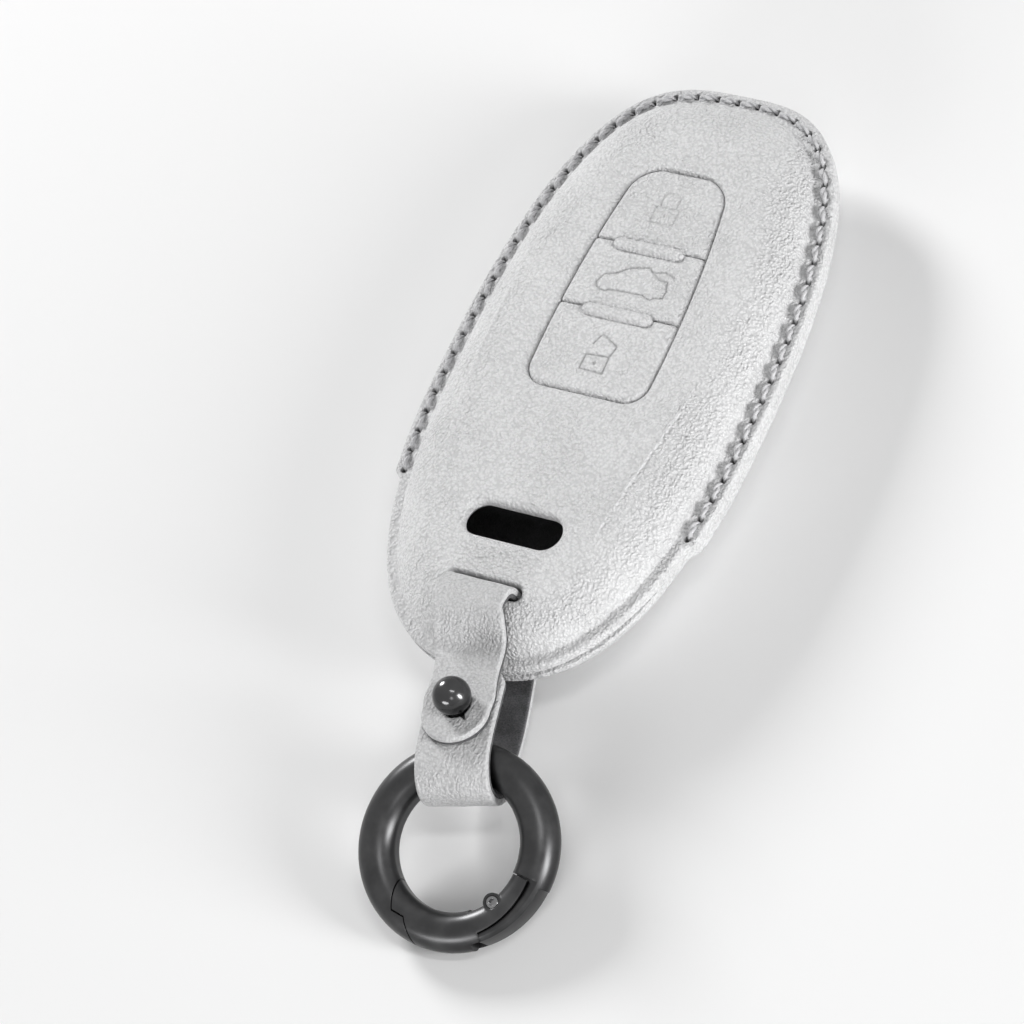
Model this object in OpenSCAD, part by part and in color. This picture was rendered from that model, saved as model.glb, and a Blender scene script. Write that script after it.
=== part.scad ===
// Leather cover for an elongated key fob, with a strap loop, a ball stud and a snap ring.
// +Z points out of the front face and +Y to the button end. The back rests on Z = 0.
// All sizes are millimetres. The origin lies under the middle of the case.

/* [Case] */
// Length of the case from rim to rim
case_len = 90; // [86:1:98]
// Width of the case across its stitched edge
case_w = 47.6; // [45:0.2:52]
// Height of the back shell under its rim
back_depth = 7.5; // [6.5:0.5:10]
// Height of the front dome over its rim
dome_h = 4.9; // [4.2:0.1:6]
// Thickness of the outer leather
leather_t = 1.5; // [1.2:0.1:1.8]
// Thickness of the soft lining
lining_t = 0.5; // [0.4:0.1:0.7]
// How far the widest line lies below the middle of the case
widest_drop = 3; // [1:0.5:6]
// Flat rim outside the dome, where the case isn't stitched
rim_w = 1.5; // [1.2:0.1:2]
// Extra width of the rim where it is stitched
stitched_extra = 1; // [0.8:0.1:1.4]
// Width over which the front dome rises
front_shoulder_w = 10; // [8:0.5:11]
// Width over which the back wall rises
back_shoulder_w = 7; // [6:0.5:9]
// Length of the mouth end, which isn't stitched
mouth_len = 23.25; // [20:0.25:28]

/* [Stitches] */
// Number of stitches round the rim
stitch_count = 50; // [40:1:60]
// Distance of the seam from the stitched edge
seam_inset = 1.3; // [1.1:0.1:1.5]
// Diameter of the thread
thread_d = 0.6; // [0.4:0.1:0.7]
// Length of one stitch as a share of the pitch
stitch_share = 0.74; // [0.6:0.02:0.85]
// Slant of each stitch to the seam in degrees
stitch_slant = 14; // [0:1:25]

/* [Buttons] */
// Distance from the mouth rim to the lower edge of the button panel
panel_from_rim = 39.25; // [37:0.25:42]
// Length of the button panel
panel_len = 35; // [31:0.5:37]
// Width of the panel at its lower edge
panel_w_low = 17.8; // [16:0.2:20]
// Width of the panel at its upper edge
panel_w_top = 13.4; // [12:0.2:16]
// How far the panel's sides bulge out
panel_bulge = 1; // [0.4:0.1:1.4]
// Radius of the panel's lower corners
panel_r_low = 3; // [2:0.5:4]
// Radius of the panel's upper corners
panel_r_top = 4; // [3:0.5:5]
// How far the pads lie below the top of the dome
pad_recess = 0.6; // [0.4:0.1:0.8]
// Length of the unlock pad
unlock_len = 12.2; // [11:0.1:13]
// Length of the boot pad
boot_len = 10.4; // [9.5:0.1:11.5]
// Width of each divider between two pads
divider_w = 0.9; // [0.7:0.1:1.2]
// Length of the raised bar on each divider
bar_len = 10.4; // [8:0.2:12]
// Width of the raised bar
bar_w = 1.8; // [1.4:0.1:2.2]
// Height of the raised bar over the pads
bar_h = 0.5; // [0.3:0.1:0.7]

/* [Window and slits] */
// Length of the window
window_l = 14.3; // [12:0.1:16]
// Width of the window
window_w = 5; // [4.6:0.1:5.6]
// Distance from the mouth rim to the middle of the window
window_from_rim = 18.5; // [18:0.25:20]
// Distance from the mouth rim to the strap's slit
slit_from_rim = 9.35; // [9:0.05:10]
// Length of each slit
slit_l = 11.2; // [11:0.1:12]

/* [Strap] */
// Width of the strap
strap_w = 9.8; // [9:0.1:10.4]
// Width of the tongue at its waist
waist_w = 8.7; // [8:0.1:9.2]
// Thickness of the strap's leather
strap_skin_t = 0.85; // [0.7:0.05:1]
// Thickness of the suede under the leather
strap_suede_t = 0.55; // [0.4:0.05:0.6]
// Turn of the strap to the side in degrees
strap_turn = 16; // [12:0.5:18]
// Diameter of the ball stud
ball_d = 5; // [4.4:0.1:5.4]

/* [Ring] */
// Outer diameter of the snap ring
ring_d = 27; // [26:0.5:30]
// Diameter of the ring's section
ring_t = 5.2; // [4.8:0.1:5.6]
// Tilt of the ring down to the surface in degrees
ring_tilt = 18; // [16:0.5:28]
// Diameter of the gate's pin
pin_d = 1.6; // [1.4:0.1:1.8]
// Angle that the gate opens in degrees
gate_open = 20; // [14:1:22]

/* [Hidden] */

// Points round each outline, and the smoothness of true round shapes
rim_points = 56;
$fn = 48;
// One overrun serves every cut
cut = 1;
// Gap between pieces that rest side by side, and round pieces that move
rest_gap = 0.05;
move_gap = 0.15;
// Gap between the lips of the mouth, and along the fold line of the flap
lip_gap = 0.2;

// Heights of the rims and of the dome
rim_z = back_depth + leather_t;
front_rim_z = rim_z + leather_t;
dome_z = front_rim_z + dome_h;
pad_z = dome_z - pad_recess;

// Outline of the case: two superellipse halves that meet on the widest line
widest_y = -widest_drop;
half_w = case_w / 2 - stitched_extra;
half_top = case_len / 2 - stitched_extra - widest_y;
half_low = case_len / 2 + widest_y;
top_power = 3.2;
low_power = 2.4;
end_power = 2.4;
mouth_rim_y = -case_len / 2;
fold_y = mouth_rim_y + mouth_len;

// Rise of the walls: share of the shoulder's width, share of the height
front_rise_shares = [[0, 0], [0.05, 0.22], [0.15, 0.48], [0.3, 0.7], [0.5, 0.86], [0.75, 0.96], [1, 1]];
back_rise_shares = [[0, 0], [0.06, 0.3], [0.2, 0.62], [0.45, 0.86], [0.75, 0.97], [1, 1]];

function side(v) = v < 0 ? -1 : 1;
function rim_angle(i) = 360 * (i + 0.5) / rim_points;
function half_end(a) = sin(a) < 0 ? half_low : half_top;
function side_power(a) = sin(a) < 0 ? low_power : top_power;
function rim_x(a, inset) = (half_w - inset) * side(cos(a)) * pow(abs(cos(a)), 2 / side_power(a));
function rim_y(a, inset) =
  widest_y + (half_end(a) - inset) * side(sin(a)) * pow(abs(sin(a)), 2 / end_power);
function rim_point(a, inset, z) = [rim_x(a, inset), rim_y(a, inset), z];
// The rim stands out further where it is stitched
function edge_inset(a) = rim_y(a, 0) > fold_y ? -stitched_extra : 0;
function inner_ring(inset, z) = [for (i = [0 : rim_points - 1]) rim_point(rim_angle(i), inset, z)];
function edge_ring(z, back) =
  [for (i = [0 : rim_points - 1]) let (a = rim_angle(i)) rim_point(a, edge_inset(a) + back, z)];

// A closed skin through a list of rings, flat at both ends
module skin(rings) {
  count = len(rings);
  sides = [for (r = [0 : count - 2], i = [0 : rim_points - 1], half = [0, 1])
    let (a = r * rim_points + i, b = r * rim_points + (i + 1) % rim_points)
    half == 0 ? [a, b, b + rim_points] : [a, b + rim_points, a + rim_points]];
  first_cap = [for (i = [rim_points - 1 : -1 : 0]) i];
  last_cap = [for (i = [0 : rim_points - 1]) (count - 1) * rim_points + i];
  polyhedron(points = [for (ring = rings) each ring], faces = concat([first_cap], sides, [last_cap]));
}

// Rings up one face of a wall. way is 1 for the front and -1 for the back
function wall_rings(shares, width, height, start_inset, start_z, way) =
  [for (s = shares) inner_ring(start_inset + s[0] * width, start_z + way * s[1] * height)];

function turned(list) = [for (i = [len(list) - 1 : -1 : 0]) list[i]];

// Outer edge break of the rim
edge_break = 0.35;

// Shell of one half, as a cup with a flat rim
module half_shell(shares, width, height, rim, mid, way) {
  rise = height - leather_t + abs(rim - mid);
  outer = wall_rings(shares, width, height, rim_w, rim, way);
  inner = wall_rings(shares, width - leather_t / 2, rise, rim_w + leather_t, mid, way);
  edge = [edge_ring(mid, 0), edge_ring(rim - way * edge_break, 0), edge_ring(rim, edge_break)];
  rings = concat(turned(inner), edge, outer);
  if (way > 0) skin(turned(rings));
  else skin(rings);
}

// Lining of one half, a thin cup inside the shell
module half_lining(shares, width, height, rim, mid, way) {
  inset = rim_w + leather_t + rest_gap;
  rise = height - leather_t + abs(rim - mid) - rest_gap * 2;
  outer = wall_rings(shares, width - leather_t / 2, rise, inset, mid, way);
  inner = wall_rings(shares, width - leather_t / 2, rise - lining_t, inset + lining_t, mid, way);
  rings = concat(turned(inner), outer);
  if (way > 0) skin(turned(rings));
  else skin(rings);
}

// Places along the case
window_y = mouth_rim_y + window_from_rim;
slit_y = mouth_rim_y + slit_from_rim;
panel_y = mouth_rim_y + panel_from_rim;

// Half width of the button panel at height y over its lower edge
function panel_side(y) = let (s = y / panel_len)
  (panel_w_low + (panel_w_top - panel_w_low) * s) / 2 + panel_bulge * 4 * s * (1 - s);
function corner(r, d) = d >= r ? 0 : r - sqrt(r * r - (r - d) * (r - d));
function panel_half(y) = panel_side(y) - corner(panel_r_low, y) - corner(panel_r_top, panel_len - y);
// Heights at which the outline turns: dense in the corners
corner_steps = 6;
side_steps = 6;
panel_heights = concat(
  [for (i = [0 : corner_steps]) panel_r_low * (1 - cos(90 * i / corner_steps))],
  [for (i = [1 : side_steps - 1]) panel_r_low + (panel_len - panel_r_low - panel_r_top) * i / side_steps],
  [for (i = [corner_steps : -1 : 0]) panel_len - panel_r_top * (1 - cos(90 * i / corner_steps))]);

// Outline of the panel between two heights, drawn in by a gap
module panel_outline(gap, from, to) {
  low = max(from, gap);
  high = min(to, panel_len - gap);
  between = [for (y = panel_heights) if (y > low + rest_gap && y < high - rest_gap) y];
  heights = concat([low], between, [high]);
  right = [for (y = heights) [panel_half(y) - gap, y]];
  left = [for (p = turned(right)) [-p[0], p[1]]];
  translate([0, panel_y]) polygon(concat(right, left));
}

module panel_cut(gap) {
  translate([0, 0, rim_z]) linear_extrude(dome_h + cut + leather_t) panel_outline(-gap, 0, panel_len);
}

// A flat slot with round ends
module slot(l, w, h) {
  for (x = [-1, 1]) translate([x * (l - w) / 2, 0, 0]) cylinder(h = h, d = w);
  translate([-(l - w) / 2, -w / 2, 0]) cube([l - w, w, h]);
}

// Strap sizes and the slits that it passes
strap_t = strap_skin_t + strap_suede_t;
slit_w = strap_t + 4 * move_gap;

module front_cuts(gap) {
  depth = dome_h + cut + leather_t;
  translate([0, window_y, rim_z]) slot(window_l + 2 * gap, window_w + 2 * gap, depth);
  translate([-slit_l / 2 - gap, slit_y - slit_w / 2 - gap, rim_z])
    cube([slit_l + 2 * gap, slit_w + 2 * gap, depth]);
  panel_cut(gap);
}

module front_shell() color("gainsboro") difference() {
  half_shell(front_rise_shares, front_shoulder_w, dome_h, front_rim_z, rim_z, 1);
  front_cuts(0);
}

module front_lining() color("dimgray") difference() {
  half_lining(front_rise_shares, front_shoulder_w, dome_h, front_rim_z, rim_z, 1);
  front_cuts(2 * move_gap);
}

// The back is cut in two at the fold line of the mouth
module behind_fold(gap) {
  translate([-case_w, fold_y + gap, -cut]) cube([2 * case_w, case_len, case_len]);
}

module before_fold() {
  translate([-case_w, fold_y - case_len, -cut]) cube([2 * case_w, case_len, case_len]);
}

module back_half(top) {
  half_shell(back_rise_shares, back_shoulder_w, back_depth, back_depth, top, -1);
}

module back_half_lining(top) {
  half_lining(back_rise_shares, back_shoulder_w, back_depth, back_depth, top, -1);
}

module back_shell() color("whitesmoke") intersection() {
  back_half(rim_z);
  behind_fold(lip_gap);
}

module back_lining() color("dimgray") intersection() {
  back_half_lining(rim_z);
  behind_fold(lip_gap);
}

// Frame of the strap: out from the fold line of the tongue, turned to the side
tongue_fold = 2 * strap_t + move_gap;
module strap_frame() {
  translate([0, slit_y - tongue_fold, 0]) rotate([0, 0, strap_turn]) children();
}

// A band drawn by its side view: u runs out along the strap, z runs up
module band(outline, w) {
  rotate([90, 0, 90]) translate([0, 0, -w / 2]) linear_extrude(w) mirror([1, 0]) polygon(outline);
}

// A smooth line through a few points, by Catmull and Rom's formula
line_steps = 5;
function blend(a, b, c, d, t) = (2 * b + (c - a) * t + (2 * a - 5 * b + 4 * c - d) * t * t
  + (3 * b - a - 3 * c + d) * t * t * t) / 2;
function smooth(p) = concat([for (i = [0 : len(p) - 2], k = [0 : line_steps - 1])
  blend(p[max(i - 1, 0)], p[i], p[i + 1], p[min(i + 2, len(p) - 1)], k / line_steps)], [p[len(p) - 1]]);
function heading(p, i) = let (d = p[min(i + 1, len(p) - 1)] - p[max(i - 1, 0)]) d / norm(d);
function shifted(p, d) =
  [for (i = [0 : len(p) - 1]) let (h = heading(p, i)) p[i] + d * [-h[1], h[0]]];
function layer(p, low, high) = concat(shifted(p, low), turned(shifted(p, high)));

// Ring: its middle circle touches the floor at the far end, and the loop holds it at the near end
ring_r = (ring_d - ring_t) / 2;
loop_z = ring_t / 2 + 2 * ring_r * sin(ring_tilt) + rest_gap;
rim_u = slit_from_rim - tongue_fold;
// Free length of the strap between the rim and the middle of the ring's section
strap_reach = 12.9;
loop_u = rim_u + strap_reach;

// Loop round the ring: the middle of the strap runs on a half ellipse round the section
hole_r = ring_r - ring_t / 2;
hug = hole_r - sqrt(hole_r * hole_r - strap_w * strap_w / 4);
loop_top = ring_t / 2 + hug / 3 + strap_t / 2;
loop_far = ring_t / 2 + hug + move_gap + strap_t / 2;
wrap_steps = 9;
wrap = [for (i = [0 : wrap_steps]) let (a = 180 * i / wrap_steps)
  [loop_u + loop_far * sin(a), loop_z + (a < 90 ? loop_top : loop_far) * cos(a)]];

// Front run of the loop: a straight stretch that carries the stud
stud_reach = 4.8;
stud_u = loop_u - stud_reach;
front_slope = 8;
stud_z = loop_z + loop_top - (stud_reach - strap_t) * tan(front_slope);
front_start_u = rim_u + 3 * move_gap / 2 + strap_t;
function front_z(u) = stud_z + (u - stud_u) * tan(front_slope);
function on_front(u) = [u, front_z(u)];
front_run = [on_front(front_start_u), on_front(stud_u - ball_d / 2), [stud_u, stud_z],
  on_front(stud_u + ball_d / 2)];

// Back run of the loop: it dips below the rim and goes through the end wall of the mouth
back_run_z = 2.2 * strap_t;
wall_u = tongue_fold / 2;
back_run = [[loop_u - 1.6 * strap_t, loop_z - loop_far - strap_t / 5],
  [rim_u + 4 * strap_t, back_run_z], [rim_u, back_run_z - strap_t / 8], [wall_u, back_run_z]];
loop_line = concat(smooth(front_run), wrap, smooth(back_run));

// Tongue: an arch out of the front slit, a dip over the rim and a stretch over the front run
arch_z = dome_z + 1.1 * strap_t;
layer_gap = 2 * rest_gap;
stack = strap_t + layer_gap;
function over_front(u) = front_z(u) + stack / cos(front_slope);
function over(u) = [u, over_front(u)];
tip_reach = 5.2;
tip_u = stud_u + tip_reach;
tongue_line = smooth([[0, arch_z], [rim_u / 3, arch_z - strap_t / 3],
  [0.75 * rim_u, over_front(rim_u) + strap_t / 2], over(front_start_u), over(stud_u - ball_d / 2),
  over(stud_u), over(tip_u + strap_t)]);
root_line = smooth([[0, front_rim_z + strap_t / 2], [0, dome_z - strap_t / 2],
  [strap_t / 2, arch_z - strap_t / 3], [tongue_fold, arch_z], [tongue_fold + strap_t, arch_z]]);

// Run between the two slits inside the case
inner_line = smooth([[tongue_fold + wall_u - rest_gap, back_run_z],
  [tongue_fold, back_run_z + strap_t / 6], [0.9 * strap_t, back_run_z + 1.2 * strap_t],
  [strap_t / 8, back_run_z + 2.6 * strap_t], [0, rim_z - strap_t / 2],
  [0, front_rim_z + strap_t / 2 - rest_gap]]);

skin_low = strap_t / 2 - strap_skin_t;

module root_band(low, high) intersection() {
  translate([0, slit_y, 0]) band(layer(root_line, low, high), strap_w);
  translate([-case_w, slit_y - tongue_fold + rest_gap, 0]) cube([2 * case_w, case_len, case_len]);
}

module strap_root() color("lightgray") root_band(skin_low, strap_t / 2);

module strap_root_suede() color("dimgray") root_band(-strap_t / 2, skin_low);

// Plan of the tongue: a waist past the rim and a round tip with a buttonhole
waist_u = rim_u + 2 * strap_t;
tongue_plan_steps = 8;
function waist_half(u) =
  strap_w / 2 - (strap_w - waist_w) / 2 * exp(-pow((u - waist_u) / (2.5 * strap_t), 2));
tip_r = waist_w / 2 + move_gap;
tip_start_u = tip_u - tip_r;

module tongue_plan() {
  plan_len = tip_start_u + strap_w / 2;
  straight = [for (i = [0 : tongue_plan_steps])
    let (u = plan_len * i / tongue_plan_steps - strap_w / 2) [waist_half(u), -u]];
  tip = [for (i = [0 : tongue_plan_steps])
    let (a = 90 * i / tongue_plan_steps) [tip_r * cos(a), -tip_start_u - tip_r * sin(a)]];
  right = concat(straight, tip);
  polygon(concat(right, [for (p = turned(right)) [-p[0], p[1]]]));
}

buttonhole_r = ball_d / 2 + move_gap;

module on_stud() {
  translate([0, -stud_u, stud_z]) rotate([-front_slope, 0, 0]) children();
}

module tongue_band(low, high) difference() {
  strap_frame() intersection() {
    band(layer(tongue_line, low, high), 2 * strap_w);
    linear_extrude(arch_z + dome_z) tongue_plan();
  }
  strap_frame() on_stud() for (y = [0, -2 * strap_skin_t]) translate([0, y, 0])
    cylinder(h = 3 * stack, r = buttonhole_r);
  translate([-case_w, slit_y - tongue_fold, 0]) cube([2 * case_w, case_len, case_len]);
}

module strap_tongue() color("lightgray") tongue_band(skin_low, strap_t / 2);

module strap_tongue_suede() color("dimgray") tongue_band(-strap_t / 2, skin_low);

// The loop's outer face is leather and its inner face is suede
module loop_band(low, high) difference() {
  strap_frame() band(layer(loop_line, low, high), strap_w);
  translate([-case_w, slit_y - tongue_fold - wall_u, 0]) cube([2 * case_w, case_len, rim_z]);
  strap_frame() on_stud() translate([0, 0, -strap_t]) cylinder(h = 2 * strap_t, r = screw_r + rest_gap);
}

module strap_loop() color("lightgray") loop_band(skin_low, strap_t / 2);

module strap_loop_suede() color("dimgray") loop_band(-strap_t / 2, skin_low);

module strap_inner() color("gray") translate([0, slit_y, 0])
  band(layer(inner_line, -strap_t / 2, strap_t / 2), strap_w);

// Opening in the end wall of the mouth for the back run of the strap
module back_slit(gap) {
  strap_frame() translate([-slit_l / 2 - gap, -rim_u, back_run_z - slit_w / 2 - gap])
    cube([slit_l + 2 * gap, rim_u + strap_w, slit_w + 2 * gap]);
}

module mouth_flap() color("whitesmoke") difference() {
  intersection() {
    back_half(rim_z - lip_gap);
    before_fold();
  }
  back_slit(0);
}

module mouth_lining() color("dimgray") difference() {
  intersection() {
    back_half_lining(rim_z - lip_gap);
    before_fold();
  }
  back_slit(move_gap);
}

// Stitches lie on both faces of the rim along the seam
edge_to_seam = seam_inset - stitched_extra;
function seam_point(a) = [rim_x(a, edge_to_seam), rim_y(a, edge_to_seam)];
seam_steps = 240;
seam_line = [for (i = [0 : seam_steps]) let (p = seam_point(360 * i / seam_steps - 90))
  if (p[1] > fold_y + seam_inset) p];
seam_ends = len(seam_line) - 1;
seam_sums = [for (i = 0, s = 0; i <= seam_ends;
  s = s + (i < seam_ends ? norm(seam_line[i + 1] - seam_line[i]) : 0), i = i + 1) s];
stitch_pitch = seam_sums[seam_ends] / stitch_count;
function seam_row(k) = [for (i = [0 : seam_ends]) [seam_sums[i], seam_line[i][k]]];
seam_rows = [seam_row(0), seam_row(1)];
function seam_at(s) = [lookup(s, seam_rows[0]), lookup(s, seam_rows[1])];

module stitch(i, z, slant) {
  p = seam_at((i + 1 / 2) * stitch_pitch);
  ahead = seam_at((i + 3 / 4) * stitch_pitch) - p;
  translate([p[0], p[1], z]) rotate([0, 90, atan2(ahead[1], ahead[0]) + slant])
    cylinder(h = stitch_pitch * stitch_share, d = thread_d, center = true);
}

thread_off = thread_d / 2 + rest_gap;

module seam_thread() color("silver") for (i = [0 : stitch_count - 1]) {
  stitch(i, front_rim_z + thread_off, stitch_slant);
  stitch(i, back_depth - thread_off, -stitch_slant);
}

// A slice of the panel between two heights, drawn in by a gap
module panel_slice(gap, from, to) {
  translate([0, 0, pad_z - leather_t]) linear_extrude(leather_t) panel_outline(gap, from, to);
}

divider_gap = divider_w / 2 + move_gap;
boot_end = unlock_len + boot_len;

module lock_pad() color("gainsboro") panel_slice(move_gap, boot_end + divider_gap, panel_len);

module boot_pad() color("gainsboro")
  panel_slice(move_gap, unlock_len + divider_gap, boot_end - divider_gap);

module unlock_pad() color("gainsboro") panel_slice(move_gap, 0, unlock_len - divider_gap);

// A strip across the panel with a raised bar, which spans from side to side of the shell
module divider(middle) color("gainsboro") {
  web_len = bar_len - 2 * bar_w;
  panel_slice(0, middle - divider_w / 2, middle + divider_w / 2);
  translate([0, panel_y + middle, pad_z + rest_gap]) slot(bar_len, bar_w, bar_h);
  translate([-web_len / 2, panel_y + middle - divider_w / 2, pad_z - leather_t / 2])
    cube([web_len, divider_w, leather_t / 2 + rest_gap + bar_h / 2]);
}

module upper_divider() divider(boot_end);

module lower_divider() divider(unlock_len);

// Stud: a ball on a neck, held by a screw from behind the front run
neck_r = 1.2;
screw_r = 0.8;
screw_head_r = 2.6;
screw_head_t = 0.6;
ball_lift = stack + ball_d / 2;

module stud_ball() color("dimgray") strap_frame() on_stud() difference() {
  union() {
    translate([0, 0, ball_lift]) sphere(d = ball_d);
    translate([0, 0, strap_t / 2 + rest_gap]) cylinder(h = ball_lift - strap_t / 2, r = neck_r);
  }
  translate([0, 0, -strap_t]) cylinder(h = 2 * strap_t + stack, r = screw_r);
}

module stud_screw() color("gray") strap_frame() on_stud() {
  head_z = -strap_t / 2 - screw_head_t - rest_gap;
  translate([0, 0, head_z]) cylinder(h = screw_head_t, r = screw_head_r);
  translate([0, 0, head_z]) cylinder(h = 2 * strap_t + screw_head_t, r = screw_r - rest_gap);
}

// Frame of the ring: X across, +Y to the strap, Z out of the ring's plane
module ring_frame() {
  strap_frame() translate([0, -loop_u, loop_z]) rotate([ring_tilt, 0, 0])
    translate([0, -ring_r, 0]) children();
}

// Angles run from the far end of the ring to the right
function polar(r, a) = [r * sin(a), -r * cos(a)];
nose_start_turn = -90;
nose_out_turn = -28;
root_out_turn = 20;
ear_end_turn = 66;
// Leaf of the ring that the gate's ears straddle, thicker past the ears
leaf_t = 2.3;
lap_turn = 2;
leaf_start_turn = root_out_turn - lap_turn;
leaf_end_turn = ear_end_turn + lap_turn / 2;
spring_t = 0.35;
spring_w = 0.4;
gate_slot_t = leaf_t + 2 * (spring_t + 2 * rest_gap);
outer_leaf_t = gate_slot_t - 4 * rest_gap;
ear_r = ring_r + 2 * ring_t / 9;
ear_drop = ring_t / 9;
past_r = ring_r + ring_t;
core_r = ring_r - ring_t;
arc_steps = 8;
function arc(r, from, to, drop = 0) =
  [for (i = [0 : arc_steps]) polar(r - drop * i / arc_steps, from + (to - from) * i / arc_steps)];

// Pin of the gate. The gate's nose ends on an arc about it, so that it swings free
pin_r = pin_d / 2;
pin_turn = 37.6;
pin_place = polar(ring_r - 3 * ring_t / 10, pin_turn);
boss_r = 2.1 * pin_r;
boss_h = ring_t - 3 * pin_r / 4;
nose_reach = ring_r + ring_t / 2;
lip_turn = -12;
nose_turn = 30;
lip_r = ring_r + 5 * ring_t / 9;
function nose(reach, from, to) =
  [for (i = [0 : arc_steps]) let (a = from + (to - from) * i / arc_steps)
    pin_place + reach * [-cos(a), sin(a)]];

// Field of the gate in the ring's plane, drawn in by a gap
module gate_field(gap) {
  turn = gap * 180 / (ring_r * PI);
  linear_extrude(2 * ring_t, center = true) polygon(concat(
    nose(nose_reach - gap, nose_turn, lip_turn),
    [polar(lip_r - gap, nose_out_turn + turn)],
    arc(past_r, nose_out_turn + turn, root_out_turn - turn),
    arc(ear_r - gap, root_out_turn - turn, ear_end_turn - turn, ear_drop),
    turned(arc(core_r, nose_start_turn / 2, ear_end_turn - turn))));
}

// A wedge of the ring's plane between two angles, out to a radius
module sector(from, to, h, out_r, drop = 0) {
  linear_extrude(h) polygon(concat(arc(out_r, from, to, drop), turned(arc(core_r, from, to))));
}

// Section of the ring: round, with a narrow flat band on its inner face
band_w = ring_t / 3;
module ring_solid() difference() {
  rotate_extrude() translate([ring_r, 0]) circle(d = ring_t);
  cylinder(h = 2 * ring_t, r = ring_r - sqrt(ring_t * ring_t - band_w * band_w) / 2, center = true);
}

module at_pin() translate([pin_place[0], pin_place[1], 0]) children();

module snap_ring() color("dimgray") ring_frame() difference() {
  union() {
    ring_solid();
    at_pin() cylinder(h = gate_slot_t, r = boss_r - rest_gap, center = true);
  }
  intersection() {
    gate_field(0);
    translate([0, 0, -ring_t]) sector(nose_start_turn, leaf_start_turn, 2 * ring_t, past_r);
  }
  for (face = [0, 1]) mirror([0, 0, face]) {
    translate([0, 0, leaf_t / 2])
      sector(leaf_start_turn - lap_turn, leaf_end_turn, ring_t, ear_r, ear_drop);
    translate([0, 0, outer_leaf_t / 2])
      sector(leaf_start_turn - lap_turn, leaf_end_turn, ring_t, past_r);
  }
  at_pin() cylinder(h = 2 * ring_t, r = pin_r, center = true);
}

module ring_gate() color("gray") ring_frame() difference() {
  intersection() {
    union() {
      ring_solid();
      at_pin() cylinder(h = boss_h, r = boss_r, center = true);
    }
    gate_field(move_gap);
  }
  translate([0, 0, -gate_slot_t / 2])
    sector(leaf_start_turn - gate_open / 3, leaf_end_turn, gate_slot_t, past_r);
  at_pin() cylinder(h = 2 * ring_t, r = pin_r + rest_gap, center = true);
}

// The pin is a rivet with a dimple at each end
module gate_pin() color("silver") ring_frame() at_pin() difference() {
  cylinder(h = boss_h, r = pin_r, center = true);
  for (z = [-1, 1]) translate([0, 0, z * boss_h / 2])
    cylinder(h = pin_d / 2, r = pin_r / 2, center = true);
}

module gate_spring() color("silver") ring_frame() at_pin() for (z = [-1, 1])
  translate([0, 0, z * (leaf_t / 2 + spring_t / 2 + rest_gap)]) difference() {
    cylinder(h = spring_t, r = pin_r + rest_gap + spring_w, center = true);
    cylinder(h = 2 * spring_t, r = pin_r + rest_gap, center = true);
  }

front_shell();
front_lining();
back_shell();
back_lining();
seam_thread();
lock_pad();
boot_pad();
unlock_pad();
upper_divider();
lower_divider();
strap_root();
strap_root_suede();
strap_tongue();
strap_tongue_suede();
mouth_flap();
mouth_lining();
strap_loop();
strap_loop_suede();
strap_inner();
stud_ball();
stud_screw();
snap_ring();
ring_gate();
gate_pin();
gate_spring();
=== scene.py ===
"""Looks of a leather key fob cover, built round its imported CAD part.

Every piece is drawn in millimetres in the row frame and turned to metres when its mesh is made.
"""

import logging
import math
from dataclasses import dataclass, field
from enum import Enum
from typing import Callable, Sequence

import bmesh
import bpy
import numpy as np
from mathutils import Matrix, Vector
from mathutils.geometry import delaunay_2d_cdt
from mathutils.kdtree import KDTree


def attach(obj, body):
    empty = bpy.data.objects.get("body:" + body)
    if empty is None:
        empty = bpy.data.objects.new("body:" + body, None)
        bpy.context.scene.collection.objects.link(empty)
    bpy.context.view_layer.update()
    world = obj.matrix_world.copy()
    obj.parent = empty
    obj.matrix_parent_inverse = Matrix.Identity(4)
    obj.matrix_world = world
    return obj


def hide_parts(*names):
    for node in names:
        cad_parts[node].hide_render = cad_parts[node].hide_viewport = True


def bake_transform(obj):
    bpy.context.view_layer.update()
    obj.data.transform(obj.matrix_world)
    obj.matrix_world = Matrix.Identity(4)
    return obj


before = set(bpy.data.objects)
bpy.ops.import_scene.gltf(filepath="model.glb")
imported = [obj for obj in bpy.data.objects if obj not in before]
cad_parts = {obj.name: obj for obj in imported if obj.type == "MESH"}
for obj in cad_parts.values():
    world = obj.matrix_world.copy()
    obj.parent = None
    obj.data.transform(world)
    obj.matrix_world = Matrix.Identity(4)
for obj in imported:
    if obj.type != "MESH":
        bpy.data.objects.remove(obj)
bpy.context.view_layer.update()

LOG = logging.getLogger("key_fob_cover")
MM = 0.001
Array = np.ndarray
Sheet = Callable[[Array], Array]
Piece = bpy.types.Object
Material = bpy.types.Material
Socket = bpy.types.NodeSocket
Colour = tuple[float, float, float]
WHITE = (1.0, 1.0, 1.0)


# Small sums


def smoothstep(low: float, high: float, value: Array) -> Array:
    """Smooth rise from 0 at low to 1 at high."""
    t = np.clip((value - low) / (high - low), 0.0, 1.0)
    return t * t * (3.0 - 2.0 * t)


def bell(distance: Array, width: float) -> Array:
    """A bell of height 1 that falls off over a width."""
    return np.exp(-((distance / width) ** 2))


def lip(distance: Array, radius: float) -> Array:
    """How far a rounded edge has dropped at a distance from the edge."""
    d = np.clip(distance, 0.0, radius)
    return radius - np.sqrt(radius**2 - (radius - d) ** 2)


def arc_length(points: Array) -> Array:
    """Running length along a line of points."""
    steps = np.linalg.norm(np.diff(points, axis=0), axis=1)
    return np.concatenate([[0.0], np.cumsum(steps)])


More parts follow.
